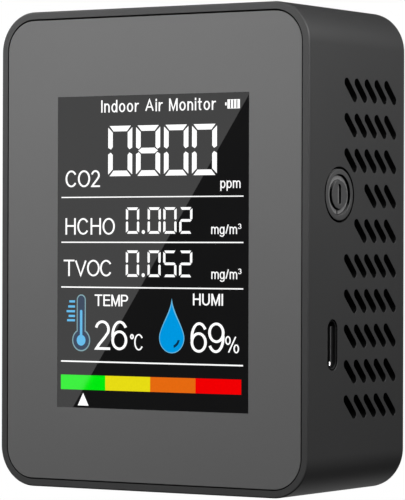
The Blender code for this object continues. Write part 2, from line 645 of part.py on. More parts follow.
def build_rear_cover():
    """Cover with a rib above and a rib below the battery, screw holes and a label recess."""
    cover = put("rear_cover", REAR, CASE_PLASTIC,
                *case_slab(COVER_INSET, COVER_FRONT_Y, COVER_BACK_Y, high_r=0.3))
    ribs = [((-6, 20), RIB_SPAN_Y, (43.0, 44.2)), ((-20, 20), RIB_SPAN_Y, (5.6, 6.8))]
    add(cover, "battery_rib_add", blocks(ribs))
    cut(cover, "cover_bore_cut", rods(y_items(BOSSES, 1.2, 13.8, 17.8), "Y", 12))
    cut(cover, "cover_counterbore_cut", rods(y_items(BOSSES, 2.3, 15.6, 18.0), "Y", 20))
    cut(cover, "label_recess_cut", box((44.6, 1.0, 26.6), 1.3, 3),
        (0, COVER_BACK_Y + 0.2, LABEL_Z))
    put("rear_label", REAR, LABEL, box((44.0, 0.15, 26.0), 1.0, 3),
        (0, COVER_BACK_Y - 0.2, LABEL_Z))
    for i, (x, z) in enumerate(BOSSES, 1):
        screw(f"rear_screw_{i}", REAR, (x, 15.65, z),
              head_r=2.0, head_t=1.0, shank_r=0.95, shank_l=8.0)


# ---------------------------------------------------------------- build everything
build_housing()
build_front_panel()
build_gasket()
build_display_frame()
build_display_layers()
build_ribbon()
build_ribbon_connector()
build_main_board()
build_usb_port()
build_tact_switch()
build_power_button()
build_co2_module()
build_voc_sensor()
build_temp_sensor()
build_small_components()
build_buzzer()
build_battery_connector()
build_lead("battery_lead_red", -1.1, -14.0, WIRE_RED)
build_lead("battery_lead_black", 1.1, -10.5, WIRE_BLACK)
build_battery()
build_rear_cover()

bpy.context.view_layer.update()
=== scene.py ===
"""Looks of the carbon dioxide monitor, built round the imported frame."""
import json
from math import acos, atan2, cos, pi, radians, sin, sqrt

import bmesh
import bpy
from mathutils import Matrix, Vector

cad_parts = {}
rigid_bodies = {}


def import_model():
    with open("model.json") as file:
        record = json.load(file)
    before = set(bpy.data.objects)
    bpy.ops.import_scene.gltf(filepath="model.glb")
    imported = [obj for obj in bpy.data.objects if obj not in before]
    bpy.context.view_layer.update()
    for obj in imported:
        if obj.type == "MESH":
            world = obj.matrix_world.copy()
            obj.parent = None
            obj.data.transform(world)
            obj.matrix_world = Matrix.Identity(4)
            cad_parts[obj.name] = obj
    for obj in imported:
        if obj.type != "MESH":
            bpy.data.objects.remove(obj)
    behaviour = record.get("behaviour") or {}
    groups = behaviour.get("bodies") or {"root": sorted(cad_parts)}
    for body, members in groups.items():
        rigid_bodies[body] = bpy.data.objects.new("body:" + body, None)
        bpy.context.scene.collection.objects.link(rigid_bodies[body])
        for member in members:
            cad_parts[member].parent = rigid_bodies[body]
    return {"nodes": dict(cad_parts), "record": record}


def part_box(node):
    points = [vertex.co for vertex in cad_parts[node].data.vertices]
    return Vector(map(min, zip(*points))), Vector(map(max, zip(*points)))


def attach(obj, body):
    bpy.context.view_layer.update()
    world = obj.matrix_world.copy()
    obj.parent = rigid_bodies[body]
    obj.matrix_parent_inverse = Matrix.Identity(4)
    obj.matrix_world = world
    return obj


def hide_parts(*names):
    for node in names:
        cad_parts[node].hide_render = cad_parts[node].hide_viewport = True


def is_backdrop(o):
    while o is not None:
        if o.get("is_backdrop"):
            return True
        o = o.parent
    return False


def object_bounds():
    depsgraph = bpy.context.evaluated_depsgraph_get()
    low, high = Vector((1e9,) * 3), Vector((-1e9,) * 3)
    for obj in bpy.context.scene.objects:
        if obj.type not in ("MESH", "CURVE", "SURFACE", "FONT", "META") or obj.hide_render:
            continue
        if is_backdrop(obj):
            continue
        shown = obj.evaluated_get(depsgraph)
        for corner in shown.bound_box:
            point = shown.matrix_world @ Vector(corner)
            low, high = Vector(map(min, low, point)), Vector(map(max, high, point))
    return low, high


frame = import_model()
CAD_LO, CAD_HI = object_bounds()
MM = 0.001
nodes = frame["nodes"]


def mm_box(node):
    lo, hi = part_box(node)
    return lo / MM, hi / MM


# ------------------------------------------------------------------ places, all from the frame (mm)
h_lo, h_hi = mm_box("main_housing")
W, H = h_hi.x - h_lo.x, h_hi.z - h_lo.z
FRONT_Y, REAR_Y = h_lo.y, CAD_HI.y / MM
D = REAR_Y - FRONT_Y
MID_Z = (h_lo.z + h_hi.z) / 2
CASE_R, FRONT_FILLET, REAR_FILLET = 7.4, 0.3, 1.4
DRAFT = 0.34                                 # each wall leans in by this much from front to back, as a moulding does
p_lo, p_hi = mm_box("front_panel")
b_lo, b_hi = mm_box("power_button")
BUTTON_Y, BUTTON_Z = (b_lo.y + b_hi.y) / 2, (b_lo.z + b_hi.z) / 2
u_lo, u_hi = mm_box("usb_c_shell")
USB_Y, USB_Z = (u_lo.y + u_hi.y) / 2, (u_lo.z + u_hi.z) / 2
c_lo, c_hi = mm_box("rear_cover")
l_lo, l_hi = mm_box("rear_label")
f_lo, f_hi = mm_box("display_frame")

SCREEN_Y = p_lo.y + 0.02                     # floor of the window, level with the panel's face
WIN_X0, WIN_X1 = -21.05, 21.30               # clear window in the panel
WIN_Z0, WIN_Z1 = f_lo.z + 8.86, f_lo.z + 66.08

SLOT_COLS, SLOT_ROWS = 5, 10
SLOT_Y0, SLOT_DY = -2.85, 3.475
SLOT_Z0, SLOT_DZ = 72.66, 6.31
SLOT_LEN, SLOT_WID, SLOT_TILT = 5.45, 1.55, 45.0
RIGHT_GAPS = {(3, 0), (3, 1), (4, 0)}

scene = bpy.context.scene
HIDDEN = bpy.data.collections.new("operands")
scene.collection.children.link(HIDDEN)


# ------------------------------------------------------------------ materials
def new_mat(name):
    m = bpy.data.materials.new(name)
    m.use_nodes = True
    nt = m.node_tree
    return m, nt, nt.nodes["Principled BSDF"]


def noise(nt, coords, scale, detail=3.0, rough=0.55):
    n = nt.nodes.new("ShaderNodeTexNoise")
    n.inputs["Scale"].default_value = scale
    n.inputs["Detail"].default_value = detail
    n.inputs["Roughness"].default_value = rough
    nt.links.new(coords, n.inputs["Vector"])
    return n.outputs["Fac"]


def ramp(nt, fac, stops):
    r = nt.nodes.new("ShaderNodeValToRGB")
    els = r.color_ramp.elements
    while len(els) < len(stops):
        els.new(0.5)
    for e, (pos, col) in zip(els, stops):
        e.position = pos
        e.color = (*col, 1.0)
    nt.links.new(fac, r.inputs["Fac"])
    return r.outputs["Color"]


def span(nt, fac, lo, hi):
    m = nt.nodes.new("ShaderNodeMapRange")
    m.inputs["To Min"].default_value = lo
    m.inputs["To Max"].default_value = hi
    nt.links.new(fac, m.inputs["Value"])
    return m.outputs["Result"]


def add_bump(nt, b, height, distance, strength=1.0):
    n = nt.nodes.new("ShaderNodeBump")
    n.inputs["Strength"].default_value = strength
    n.inputs["Distance"].default_value = distance
    nt.links.new(height, n.inputs["Height"])
    nt.links.new(n.outputs["Normal"], b.inputs["Normal"])


def surface(name, rgb, rough, metallic=0.0, vary=0.06, scale=900.0, grain=4000.0, bump=0.000006, rough_vary=0.05,
            specular=0.5, stretch=None, coat=0.0):
    """Moulded or plated surface: slow colour drift, fine grain in roughness and height."""
    m, nt, b = new_mat(name)
    tc = nt.nodes.new("ShaderNodeTexCoord")
    vec = tc.outputs["Object"]
    if stretch:
        mp = nt.nodes.new("ShaderNodeMapping")
        mp.inputs["Scale"].default_value = stretch
        nt.links.new(vec, mp.inputs["Vector"])
        vec = mp.outputs["Vector"]
    slow = noise(nt, vec, scale * 0.05, 2.0)
    fine = noise(nt, vec, grain, 2.0, 0.6)
    lo = tuple(c * (1 - vary) for c in rgb)
    hi = tuple(min(1.0, c * (1 + vary)) for c in rgb)
    nt.links.new(ramp(nt, slow, [(0.3, lo), (0.7, hi)]), b.inputs["Base Color"])
    nt.links.new(span(nt, fine, max(0.02, rough - rough_vary), rough + rough_vary), b.inputs["Roughness"])
    b.inputs["Metallic"].default_value = metallic
    b.inputs["Specular IOR Level"].default_value = specular
    b.inputs["Coat Weight"].default_value = coat
    add_bump(nt, b, fine, bump)
    return m


CASE = surface("case_plastic", (0.050, 0.050, 0.0505), 0.44, vary=0.03, grain=5200.0, bump=0.000004)
# near-black used for the case's inside, its holes, recess and gaps: painted shade
CASE_SHADE = surface("case_inside_painted_shade", (0.006, 0.006, 0.006), 0.8, vary=0.05, specular=0.1)
BUTTON = surface("button_plastic", (0.080, 0.080, 0.0805), 0.42, vary=0.03, grain=5200.0, bump=0.000004)
BUTTON_RING = surface("button_ring", (0.24, 0.24, 0.24), 0.35, vary=0.04)
# near-black walls and floor edges of the button's groove: painted shade
BUTTON_WELL_SHADE = surface("button_well_painted_shade", (0.003, 0.003, 0.003), 0.9, vary=0.04, specular=0.0)
wn_, wb_ = BUTTON_WELL_SHADE.node_tree, [n for n in BUTTON_WELL_SHADE.node_tree.nodes if n.type == "BSDF_PRINCIPLED"][0]
facing, split, climb, mixc = (wn_.nodes.new(k) for k in ("ShaderNodeNewGeometry", "ShaderNodeSeparateXYZ", "ShaderNodeMapRange", "ShaderNodeMix"))
mixc.data_type = "RGBA"                      # painted shade: walls that face up are painted paler than the ones that face down, as light from above falls on them
climb.inputs["From Min"].default_value, climb.inputs["From Max"].default_value = 0.35, 0.95
wn_.links.new(facing.outputs["Normal"], split.inputs["Vector"])
wn_.links.new(split.outputs["Z"], climb.inputs["Value"])
wn_.links.new(climb.outputs["Result"], mixc.inputs["Factor"])
if wb_.inputs["Base Color"].is_linked:
    wn_.links.new(wb_.inputs["Base Color"].links[0].from_socket, mixc.inputs[6])
mixc.inputs[7].default_value = (0.12, 0.12, 0.12, 1)
wn_.links.new(mixc.outputs[2], wb_.inputs["Base Color"])
PANEL = surface("panel_acrylic", (0.128, 0.128, 0.128), 0.42, vary=0.012, grain=2600.0, bump=0.0000015, rough_vary=0.03)
# dark steel for the rolled rim of the USB shell: painted shade
STEEL_SHADE = surface("steel_rim_painted_shade", (0.035, 0.035, 0.036), 0.45, 1.0, vary=0.05)
# pale grey on the shell's near lip and the tongue's bevelled edge: painted highlight
PORT_LIP_HIGHLIGHT = surface("port_lip_painted_highlight", (0.14, 0.14, 0.142), 0.40, vary=0.04)
PORT_GLINT = surface("port_painted_glint", (0.95, 0.95, 0.95), 0.30, 1.0, vary=0.02)
glint_face = PORT_GLINT.node_tree.nodes.new("ShaderNodeCombineXYZ")        # normal turned up and forward so this patch shows a painted glint
glint_face.inputs[0].default_value, glint_face.inputs[1].default_value, glint_face.inputs[2].default_value = 0.667, -0.637, 0.389
PORT_GLINT.node_tree.links.new(glint_face.outputs["Vector"],
                               [n for n in PORT_GLINT.node_tree.nodes if n.type == "BSDF_PRINCIPLED"][0].inputs["Normal"])
# near-black inside the USB port: the tongue's own black, and painted shade on the shell's inner walls
PORT_DARK = surface("port_black_and_painted_shade", (0.006, 0.006, 0.0065), 0.60, vary=0.05)
STEEL = surface("steel", (0.60, 0.60, 0.61), 0.26, 1.0, vary=0.05, grain=1800.0, bump=0.000003, rough_vary=0.08,
                stretch=(1.0, 8.0, 1.0))
SCREW = surface("screw_steel", (0.42, 0.42, 0.43), 0.32, 1.0, vary=0.08, grain=2400.0, bump=0.000004, rough_vary=0.1)
TAPE = surface("black_tape", (0.015, 0.015, 0.015), 0.85, vary=0.2, grain=1500.0, bump=0.00002)
WHITE = surface("white_plastic", (0.74, 0.74, 0.72), 0.5, vary=0.02)
CREAM = surface("connector_cream", (0.70, 0.64, 0.50), 0.5, vary=0.03)
CHIP = surface("chip_black", (0.018, 0.018, 0.020), 0.55, vary=0.15, grain=2500.0, bump=0.000008)
GOLD = surface("gold_plate", (0.80, 0.56, 0.22), 0.24, 1.0, vary=0.06, rough_vary=0.08)
POUCH = surface("battery_pouch", (0.55, 0.55, 0.57), 0.34, 0.85, vary=0.06, scale=2600.0, grain=700.0, bump=0.00004)
MEMBRANE = surface("membrane", (0.82, 0.82, 0.78), 0.9, vary=0.05, grain=3000.0, bump=0.00003)
FILM = surface("polyimide", (0.42, 0.19, 0.03), 0.3, vary=0.08)
WIRE_R = surface("wire_red", (0.45, 0.02, 0.02), 0.45, vary=0.05)
WIRE_B = surface("wire_black", (0.015, 0.015, 0.015), 0.45, vary=0.1)
GLASS_BLACK = surface("display_cell", (0.010, 0.010, 0.012), 0.06, vary=0.1, bump=0.0000002, rough_vary=0.02)
LABEL = surface("label_paper", (0.60, 0.60, 0.59), 0.55, vary=0.03, grain=1200.0, bump=0.00001)


def board_material():
    """Green solder mask with copper tracks showing through as a lighter weave of right-angled lines."""
    m, nt, b = new_mat("board_green")
    tc = nt.nodes.new("ShaderNodeTexCoord")
    br = nt.nodes.new("ShaderNodeTexBrick")
    br.inputs["Scale"].default_value = 220.0
    br.inputs["Mortar Size"].default_value = 0.035
    br.offset = 0.35
    for k, c in (("Color1", (0.010, 0.085, 0.030)), ("Color2", (0.013, 0.100, 0.036)), ("Mortar", (0.030, 0.170, 0.070))):
        br.inputs[k].default_value = (*c, 1.0)
    mp = nt.nodes.new("ShaderNodeMapping")
    mp.inputs["Rotation"].default_value = (radians(90), 0, 0)
    nt.links.new(tc.outputs["Object"], mp.inputs["Vector"])
    nt.links.new(mp.outputs["Vector"], br.inputs["Vector"])
    nt.links.new(br.outputs["Color"], b.inputs["Base Color"])
    nt.links.new(span(nt, noise(nt, tc.outputs["Object"], 1500.0), 0.25, 0.4), b.inputs["Roughness"])
    add_bump(nt, b, br.outputs["Fac"], 0.00001)
    return m


BOARD = board_material()


def window_material():
    """Black glossy display under the clear window; near-black glow of a lit display."""
    m, nt, b = new_mat("window_glass")
    tc = nt.nodes.new("ShaderNodeTexCoord")
    n = noise(nt, tc.outputs["Object"], 60.0)
    nt.links.new(ramp(nt, n, [(0.3, (0.0035, 0.0035, 0.0038)), (0.7, (0.0045, 0.0045, 0.0047))]), b.inputs["Base Color"])
    nt.links.new(span(nt, noise(nt, tc.outputs["Object"], 900.0), 0.004, 0.008), b.inputs["Roughness"])
    b.inputs["Emission Color"].default_value = (1, 1, 1, 1)
    b.inputs["Emission Strength"].default_value = 0.004
    return m


WINDOW = window_material()


def lit(name, rgb, strength=0.85, tint=None):
    """Lit part of the display: glows, under the same clear glossy face as the window."""
    m, nt, b = new_mat(name)
    tc = nt.nodes.new("ShaderNodeTexCoord")
    fine = noise(nt, tc.outputs["Object"], 2500.0, 1.0)
    lo = tuple(c * 0.97 for c in rgb)
    col = ramp(nt, fine, [(0.3, lo), (0.7, rgb)])
    nt.links.new(col, b.inputs["Emission Color"])
    dark = ramp(nt, fine, [(0.3, tuple(c * 0.10 for c in rgb)), (0.7, tuple(c * 0.12 for c in rgb))])
    nt.links.new(dark, b.inputs["Base Color"])
    b.inputs["Emission Strength"].default_value = strength
    b.inputs["Roughness"].default_value = 0.03
    return m


LIT_WHITE = lit("lit_white", (1.0, 1.0, 1.0), 1.0)
LIT_GREEN = lit("lit_green", (0.0, 0.89, 0.005))
LIT_YELLOW = lit("lit_yellow", (0.86, 0.77, 0.008))
LIT_ORANGE = lit("lit_orange", (0.85, 0.155, 0.006))
LIT_RED = lit("lit_red", (0.95, 0.0, 0.001))
LIT_BLUE = lit("lit_blue", (0.0, 0.335, 0.80))
LIT_SKY = lit("lit_sky", (0.10, 0.50, 0.86))
LIT_TEAL = lit("lit_teal", (0.24, 0.44, 0.50), 0.7)
LIT_RIM = lit("lit_rim", (0.16, 0.52, 0.80))
LIT_NAVY = lit("lit_navy", (0.003, 0.030, 0.080), 0.8)


# ------------------------------------------------------------------ mesh helpers
def mesh_from(bm, name):
    me = bpy.data.meshes.new(name)
    bm.to_mesh(me)
    bm.free()
    return me


def place(me, name, loc=(0, 0, 0), rot=(0, 0, 0), mats=(), coll=None):
    o = bpy.data.objects.new(name, me)
    (coll or scene.collection).objects.link(o)
    o.location = Vector(loc) * MM
    o.rotation_euler = tuple(radians(a) for a in rot)
    for m in mats:
        me.materials.append(m)
    return o


def box(size, corner_r=0.0, seg=6, front_r=0.0, rear_r=0.0, edge_seg=2, axis="Y"):
    k = "XYZ".index(axis)
    bm = bmesh.new()
    bmesh.ops.create_cube(bm, size=1.0)
    bmesh.ops.scale(bm, vec=Vector(size) * MM, verts=bm.verts)
    if corner_r:
        edges = [e for e in bm.edges if abs(e.verts[0].co[k] - e.verts[1].co[k]) > 1e-7]
        bmesh.ops.bevel(bm, geom=edges, offset=corner_r * MM, offset_type="OFFSET", segments=seg,
                        profile=0.5, affect="EDGES", clamp_overlap=False)
    half = size[k] / 2 * MM
    for side, r in ((-1, front_r), (1, rear_r)):
        if r:
            edges = [e for e in bm.edges if all(abs(v.co[k] - side * half) < 1e-7 for v in e.verts)]
            bmesh.ops.bevel(bm, geom=edges, offset=r * MM, offset_type="OFFSET", segments=edge_seg,
                            profile=0.5, affect="EDGES", clamp_overlap=False)
    return mesh_from(bm, "box")


def rods(items, axis="Y", sides=32):
    turn = {"X": Matrix.Rotation(pi / 2, 4, "Y"), "Y": Matrix.Rotation(pi / 2, 4, "X"), "Z": Matrix.Identity(4)}[axis]
    bm = bmesh.new()
    for c, r, length in items:
        bmesh.ops.create_cone(bm, cap_ends=True, cap_tris=False, segments=sides, radius1=r * MM, radius2=r * MM,
                              depth=length * MM, matrix=Matrix.Translation(Vector(c) * MM) @ turn)
    return mesh_from(bm, "rods")


def blocks(items):
    bm = bmesh.new()
    for xs, ys, zs in items:
        size = Vector((xs[1] - xs[0], ys[1] - ys[0], zs[1] - zs[0])) * MM
        mid = Vector((xs[0] + xs[1], ys[0] + ys[1], zs[0] + zs[1])) * MM / 2
        bmesh.ops.create_cube(bm, size=1.0, matrix=Matrix.Translation(mid) @ Matrix.Diagonal((*size, 1.0)))
    return mesh_from(bm, "blocks")


def stadium(cx, cy, length, width, tilt, seg, grow=0.0):
    """Outline of a stadium whose long axis leans tilt degrees from +y towards -x, grown outwards by grow."""
    u = Vector((-sin(radians(tilt)), cos(radians(tilt))))
    base = radians(90 + tilt)
    pts = []
    for s in (1, -1):
        c = Vector((cx, cy)) + u * s * (length - width) / 2
        for i in range(seg + 1):
            a = base - pi / 2 + pi * i / seg + (0 if s > 0 else pi)
            r = width / 2 + grow
            pts.append((c.x + r * cos(a), c.y + r * sin(a)))
    return pts


def ring(r, sides, cy, cz, grow=0.0):
    return [(cy + (r + grow) * cos(2 * pi * i / sides), cz + (r + grow) * sin(2 * pi * i / sides)) for i in range(sides)]


def inset_at(y):
    """How far the drafted wall has leaned in at depth y."""
    return DRAFT * (y - FRONT_Y) / D


def side_cutter(outlines, x_in, sign, chamfer, mats):
    """Through-cutters for a side wall. outlines(grow) gives each (y, z) outline at a growth; the mouth is chamfered.
    Faces deeper than the chamfer take the second material, which paints the shade inside the holes."""
    bm = bmesh.new()
    for k, base in enumerate(outlines(0.0)):
        x_face = W / 2 - inset_at(sum(y for y, z in base) / len(base))
        xs = [(x_in, 0.0), (x_face - chamfer, 0.0), (x_face + 0.8, chamfer + 0.8)]
        loops = []
        for x, grow in xs:
            pts = outlines(grow)[k]
            loops.append([bm.verts.new((sign * x * MM, y * MM, z * MM)) for y, z in pts])
        n = len(loops[0])
        for j, (a, b) in enumerate(zip(loops, loops[1:])):
            for i in range(n):
                f = bm.faces.new((a[i], a[(i + 1) % n], b[(i + 1) % n], b[i]))
                f.material_index = 1 if j == 0 else 0
        bm.faces.new(loops[0]).material_index = 1
        bm.faces.new(list(reversed(loops[-1]))).material_index = 0
    bmesh.ops.recalc_face_normals(bm, faces=bm.faces)
    return place(mesh_from(bm, "side_cut"), "side_cut", mats=mats, coll=HIDDEN)


def boolean(o, operand, op="DIFFERENCE", transfer=False):
    m = o.modifiers.new(operand.name, "BOOLEAN")
    m.operation, m.solver, m.object = op, "EXACT", operand
    if transfer:
        m.material_mode = "TRANSFER"
    operand.hide_render = True
    operand.hide_viewport = True
    operand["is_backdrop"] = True


def bake(o, sharp=30.0, weighted=True):
    """Apply modifiers, smooth, keep real edges sharp, keep flat faces flat."""
    dg = bpy.context.evaluated_depsgraph_get()
    me = bpy.data.meshes.new_from_object(o.evaluated_get(dg))
    o.modifiers.clear()
    o.data = me
    bm = bmesh.new()
    bm.from_mesh(me)
    bmesh.ops.remove_doubles(bm, verts=bm.verts, dist=2e-7)
    bmesh.ops.dissolve_degenerate(bm, edges=bm.edges, dist=1e-7)
    bm.to_mesh(me)
    bm.free()
    me.shade_smooth()
    me.set_sharp_from_angle(angle=radians(sharp))
    if weighted:
        w = o.modifiers.new("weighted", "WEIGHTED_NORMAL")
        w.keep_sharp = True
        w.weight = 100
        w.mode = "FACE_AREA"
    return o


def turned(name, profile, steps, loc, rot, mats):
    bm = bmesh.new()
    vs = [bm.verts.new((r * MM, 0, z * MM)) for r, z in profile]
    for a, b in zip(vs, vs[1:]):
        bm.edges.new((a, b))
    o = place(mesh_from(bm, name), name, loc, rot, mats)
    s = o.modifiers.new("turn", "SCREW")
    s.axis, s.angle, s.steps, s.render_steps = "Z", 2 * pi, steps, steps
    s.use_merge_vertices, s.merge_threshold, s.use_smooth_shade = True, 0.00002, False
    return o


def arc(cx, cy, r, a0, a1, n):
    return [(cx + r * cos(radians(a0 + (a1 - a0) * i / n)), cy + r * sin(radians(a0 + (a1 - a0) * i / n))) for i in range(n + 1)]


# ------------------------------------------------------------------ housing
PITCH_SEG = 24
housing = place(box((W, D, H), CASE_R, PITCH_SEG, FRONT_FILLET, REAR_FILLET, 6), "housing_shell",
                (0, (FRONT_Y + REAR_Y) / 2, MID_Z), mats=(CASE, CASE_SHADE))
for v in housing.data.vertices:
    lean = inset_at(v.co.y / MM + (FRONT_Y + REAR_Y) / 2)
    v.co.x *= 1 - lean / (W / 2)
    v.co.z *= 1 - lean / (H / 2)


def inset_cut(inset, y0, y1, mat):
    return place(box((W - 2 * inset, y1 - y0, H - 2 * inset), CASE_R - inset, PITCH_SEG), "inset_cut",
                 (0, (y0 + y1) / 2, MID_Z), mats=(mat,), coll=HIDDEN)


WALL = 2.4
# the inside, the panel's recess, the display opening, the holes and the bosses take the near-black painted shade
boolean(housing, inset_cut(WALL, p_hi.y + 2.55, REAR_Y + 2, CASE_SHADE), transfer=True)
REBATE_Y = c_hi.y - 2.25
boolean(housing, inset_cut(1.5, REBATE_Y, REAR_Y + 2, CASE), transfer=True)
boolean(housing, inset_cut(W / 2 - p_hi.x - 0.3, FRONT_Y - 2, p_hi.y + 0.5, CASE_SHADE), transfer=True)
boolean(housing, place(box((f_hi.x - f_lo.x + 1.0, 4.0, f_hi.z - f_lo.z + 1.0)), "display_cut",
                       (0, p_hi.y + 1.6, (f_lo.z + f_hi.z) / 2), mats=(CASE_SHADE,), coll=HIDDEN), transfer=True)
for sign in (1, -1):
    cells = [(SLOT_Y0 + c * SLOT_DY, SLOT_Z0 - r * SLOT_DZ) for r in range(SLOT_ROWS) for c in range(SLOT_COLS)
             if sign < 0 or (r, c) not in RIGHT_GAPS]
    boolean(housing, side_cutter(lambda g: [stadium(y, z, SLOT_LEN, SLOT_WID, SLOT_TILT, 8, g) for y, z in cells],
                                 31.0, sign, 0.05, (CASE, CASE_SHADE)), transfer=True)
boolean(housing, side_cutter(lambda g: [ring(5.0, 96, BUTTON_Y, BUTTON_Z, g)], 31.0, 1, 0.05,
                             (CASE, CASE_SHADE)), transfer=True)
boolean(housing, side_cutter(lambda g: [stadium(USB_Y, USB_Z, u_hi.z - u_lo.z + 0.16, u_hi.y - u_lo.y + 0.16, 0, 16, g)],
                             31.0, 1, 0.06, (CASE, CASE_SHADE)), transfer=True)
boss_z = 5.6
bosses = [((sx * 28.4, (REBATE_Y - 13.8) / 2, z), 2.7, REBATE_Y + 13.8) for sx in (-1, 1) for z in (boss_z, H - boss_z)]
boolean(housing, place(rods(bosses, "Y", 32), "boss_add", mats=(CASE_SHADE,), coll=HIDDEN), "UNION", True)
boolean(housing, place(rods([((sx * 28.4, REBATE_Y - 3.75, z), 1.0, 10.0) for sx in (-1, 1) for z in (boss_z, H - boss_z)], "Y", 20),
                       "bore_cut", mats=(CASE_SHADE,), coll=HIDDEN), transfer=True)
bake(housing)
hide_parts("main_housing")
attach(housing, "case")

# ------------------------------------------------------------------ front panel with its window
pw, pt, ph = p_hi.x - p_lo.x, p_hi.y - p_lo.y, p_hi.z - p_lo.z
GROW = (0.20, 0.04, 0.13, 0.0)                # the sheet sits closer to the rim on its left, right and lower edges, mm
panel = place(box((pw + GROW[0] + GROW[1], pt, ph + GROW[2] + GROW[3]), CASE_R - (W / 2 - p_hi.x), PITCH_SEG, 0.12, 0, 3),
              "front_panel_sheet", ((GROW[1] - GROW[0]) / 2, (p_lo.y + p_hi.y) / 2, MID_Z + (GROW[3] - GROW[2]) / 2), mats=(PANEL,))
win_w, win_h = WIN_X1 - WIN_X0, WIN_Z1 - WIN_Z0
win_mid = ((WIN_X0 + WIN_X1) / 2, (WIN_Z0 + WIN_Z1) / 2)
boolean(panel, place(box((win_w, 2.0, win_h)), "window_cut", (win_mid[0], SCREEN_Y - 1.0, win_mid[1]),
                     mats=(WINDOW,), coll=HIDDEN), transfer=True)
bake(panel)
# the step from the face down to the window belongs to the panel's own colour, only its floor is the window
for poly in panel.data.polygons:
    if poly.material_index and abs(poly.normal.y) < 0.5:
        poly.material_index = 0
# the edge round the sheet is painted near-black as shade, which is what shows in the gap
panel.data.materials.append(CASE_SHADE)
for poly in panel.data.polygons:
    outer = abs(poly.center.x) > (WIN_X1 + 1.0) * MM or not (WIN_Z0 - 1.0) * MM < poly.center.z < (WIN_Z1 + 1.0) * MM
    if outer and abs(poly.normal.y) < 0.3:
        poly.material_index = 2
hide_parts("front_panel")
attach(panel, "case")


# ------------------------------------------------------------------ the lit readout
READ_T = 0.03                                # thickness of a lit shape, mm


def flat_piece(name, polys, mat, lift=0.0):
    """Thin closed plates from convex or concave outlines in (x, z), standing on the window's floor."""
    bm = bmesh.new()
    y1, y0 = SCREEN_Y + 0.01, SCREEN_Y - READ_T - lift
    for pts in polys:
        area = sum(a[0] * b[1] - b[0] * a[1] for a, b in zip(pts, pts[1:] + pts[:1]))
        if area < 0:
            pts = list(reversed(pts))
        front = [bm.verts.new((x * MM, y0 * MM, z * MM)) for x, z in pts]
        back = [bm.verts.new((x * MM, y1 * MM, z * MM)) for x, z in pts]
        n = len(pts)
        bm.faces.new(front)
        bm.faces.new(list(reversed(back)))
        for i in range(n):
            bm.faces.new((front[(i + 1) % n], front[i], back[i], back[(i + 1) % n]))
    bmesh.ops.recalc_face_normals(bm, faces=bm.faces)
    o = place(mesh_from(bm, name), name, mats=(mat,))
    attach(o, "case")
    return o


def rect(x0, x1, z0, z1):
    return [(x0, z0), (x1, z0), (x1, z1), (x0, z1)]


SEGMENTS = {0: "abcdef", 2: "abged", 5: "afgcd", 8: "abcdefg"}


def digit(value, x0, x1, z0, z1, t, gap, nib=0.0, short=0.0):
    """Seven-segment figure as mitred bars with thin gaps between them."""
    zm, k, h = (z0 + z1) / 2, gap / 2, t / 2
    out = {
        "a": [(x0 + k + nib, z1), (x1 - k - nib, z1), (x1 - t - k, z1 - t), (x0 + t + k, z1 - t)],
        "d": [(x0 + k + nib, z0), (x1 - k - nib, z0), (x1 - t - k, z0 + t), (x0 + t + k, z0 + t)],
        "g": [(x0 + k + h * 0.3 + short, zm), (x0 + t * 0.9 + k + short, zm + h), (x1 - t * 0.9 - k - short, zm + h),
              (x1 - k - h * 0.3 - short, zm), (x1 - t * 0.9 - k - short, zm - h), (x0 + t * 0.9 + k + short, zm - h)],
        "f": [(x0, z1 - k - nib), (x0 + t, z1 - t - k), (x0 + t, zm + h + k), (x0 + h + t * 0.1, zm + k * 1.4), (x0, zm + h * 0.8 + k)],
        "e": [(x0, z0 + k + nib), (x0 + t, z0 + t + k), (x0 + t, zm - h - k), (x0 + h + t * 0.1, zm - k * 1.4), (x0, zm - h * 0.8 - k)],
    }
    out["b"] = [(x0 + x1 - x, z) for x, z in out["f"]]
    out["c"] = [(x0 + x1 - x, z) for x, z in out["e"]]
    return [out[s] for s in SEGMENTS[value]]


DX = -0.56                                   # every x below is measured from a datum this far left of the centre line
big = []
for v, (x0, x1) in zip((0, 8, 0, 0), ((-9.09, -3.60), (-2.84, 2.60), (3.35, 8.80), (9.50, 15.00))):
    big += digit(v, x0 + DX + 0.08, x1 + DX - 0.04, 57.36, 66.53, 1.00, 0.42, 0.10, 0.12)
flat_piece("readout_main_value", big, LIT_WHITE)

small = []
for z0, z1, values in ((46.76, 51.72, (0, 0, 0, 2)), (38.92, 43.90, (0, 0, 5, 2))):
    for v, (x0, x1) in zip(values, ((-5.04, -2.00), (-0.19, 2.78), (3.27, 6.26), (6.78, 9.72))):
        small += digit(v, x0 + DX + 0.06, x1 + DX - 0.04, z0 + 0.09, z1 - 0.09, 0.47, 0.18, 0.16)
    small.append([(x + DX, z) for x, z in arc(-1.10, z0 + 0.40, 0.35, 0, 360, 16)[:-1]])
flat_piece("readout_second_values", small, LIT_WHITE)

bars = []
for z, half in ((53.54, 0.100), (45.28, 0.110), (37.02, 0.115), (23.36, 0.130)):
    bars.append(rect(-19.62 + DX, 20.70 + DX, z - half, z + half))
flat_piece("readout_divider_lines", bars, LIT_WHITE)

cuts = [-19.63, -9.52, 0.53, 10.48, 20.34]
for name, mat, x0, x1 in (("green", LIT_GREEN, cuts[0], cuts[1]), ("yellow", LIT_YELLOW, cuts[1], cuts[2]),
                          ("orange", LIT_ORANGE, cuts[2], cuts[3]), ("red", LIT_RED, cuts[3], cuts[4])):
    flat_piece("readout_scale_" + name, [rect(x0 + DX, x1 + DX, 18.17, 20.87)], mat)
flat_piece("readout_scale_marker", [[(-15.76 + DX, 15.27), (-13.30 + DX, 15.27), (-14.54 + DX, 17.58)]], LIT_WHITE)

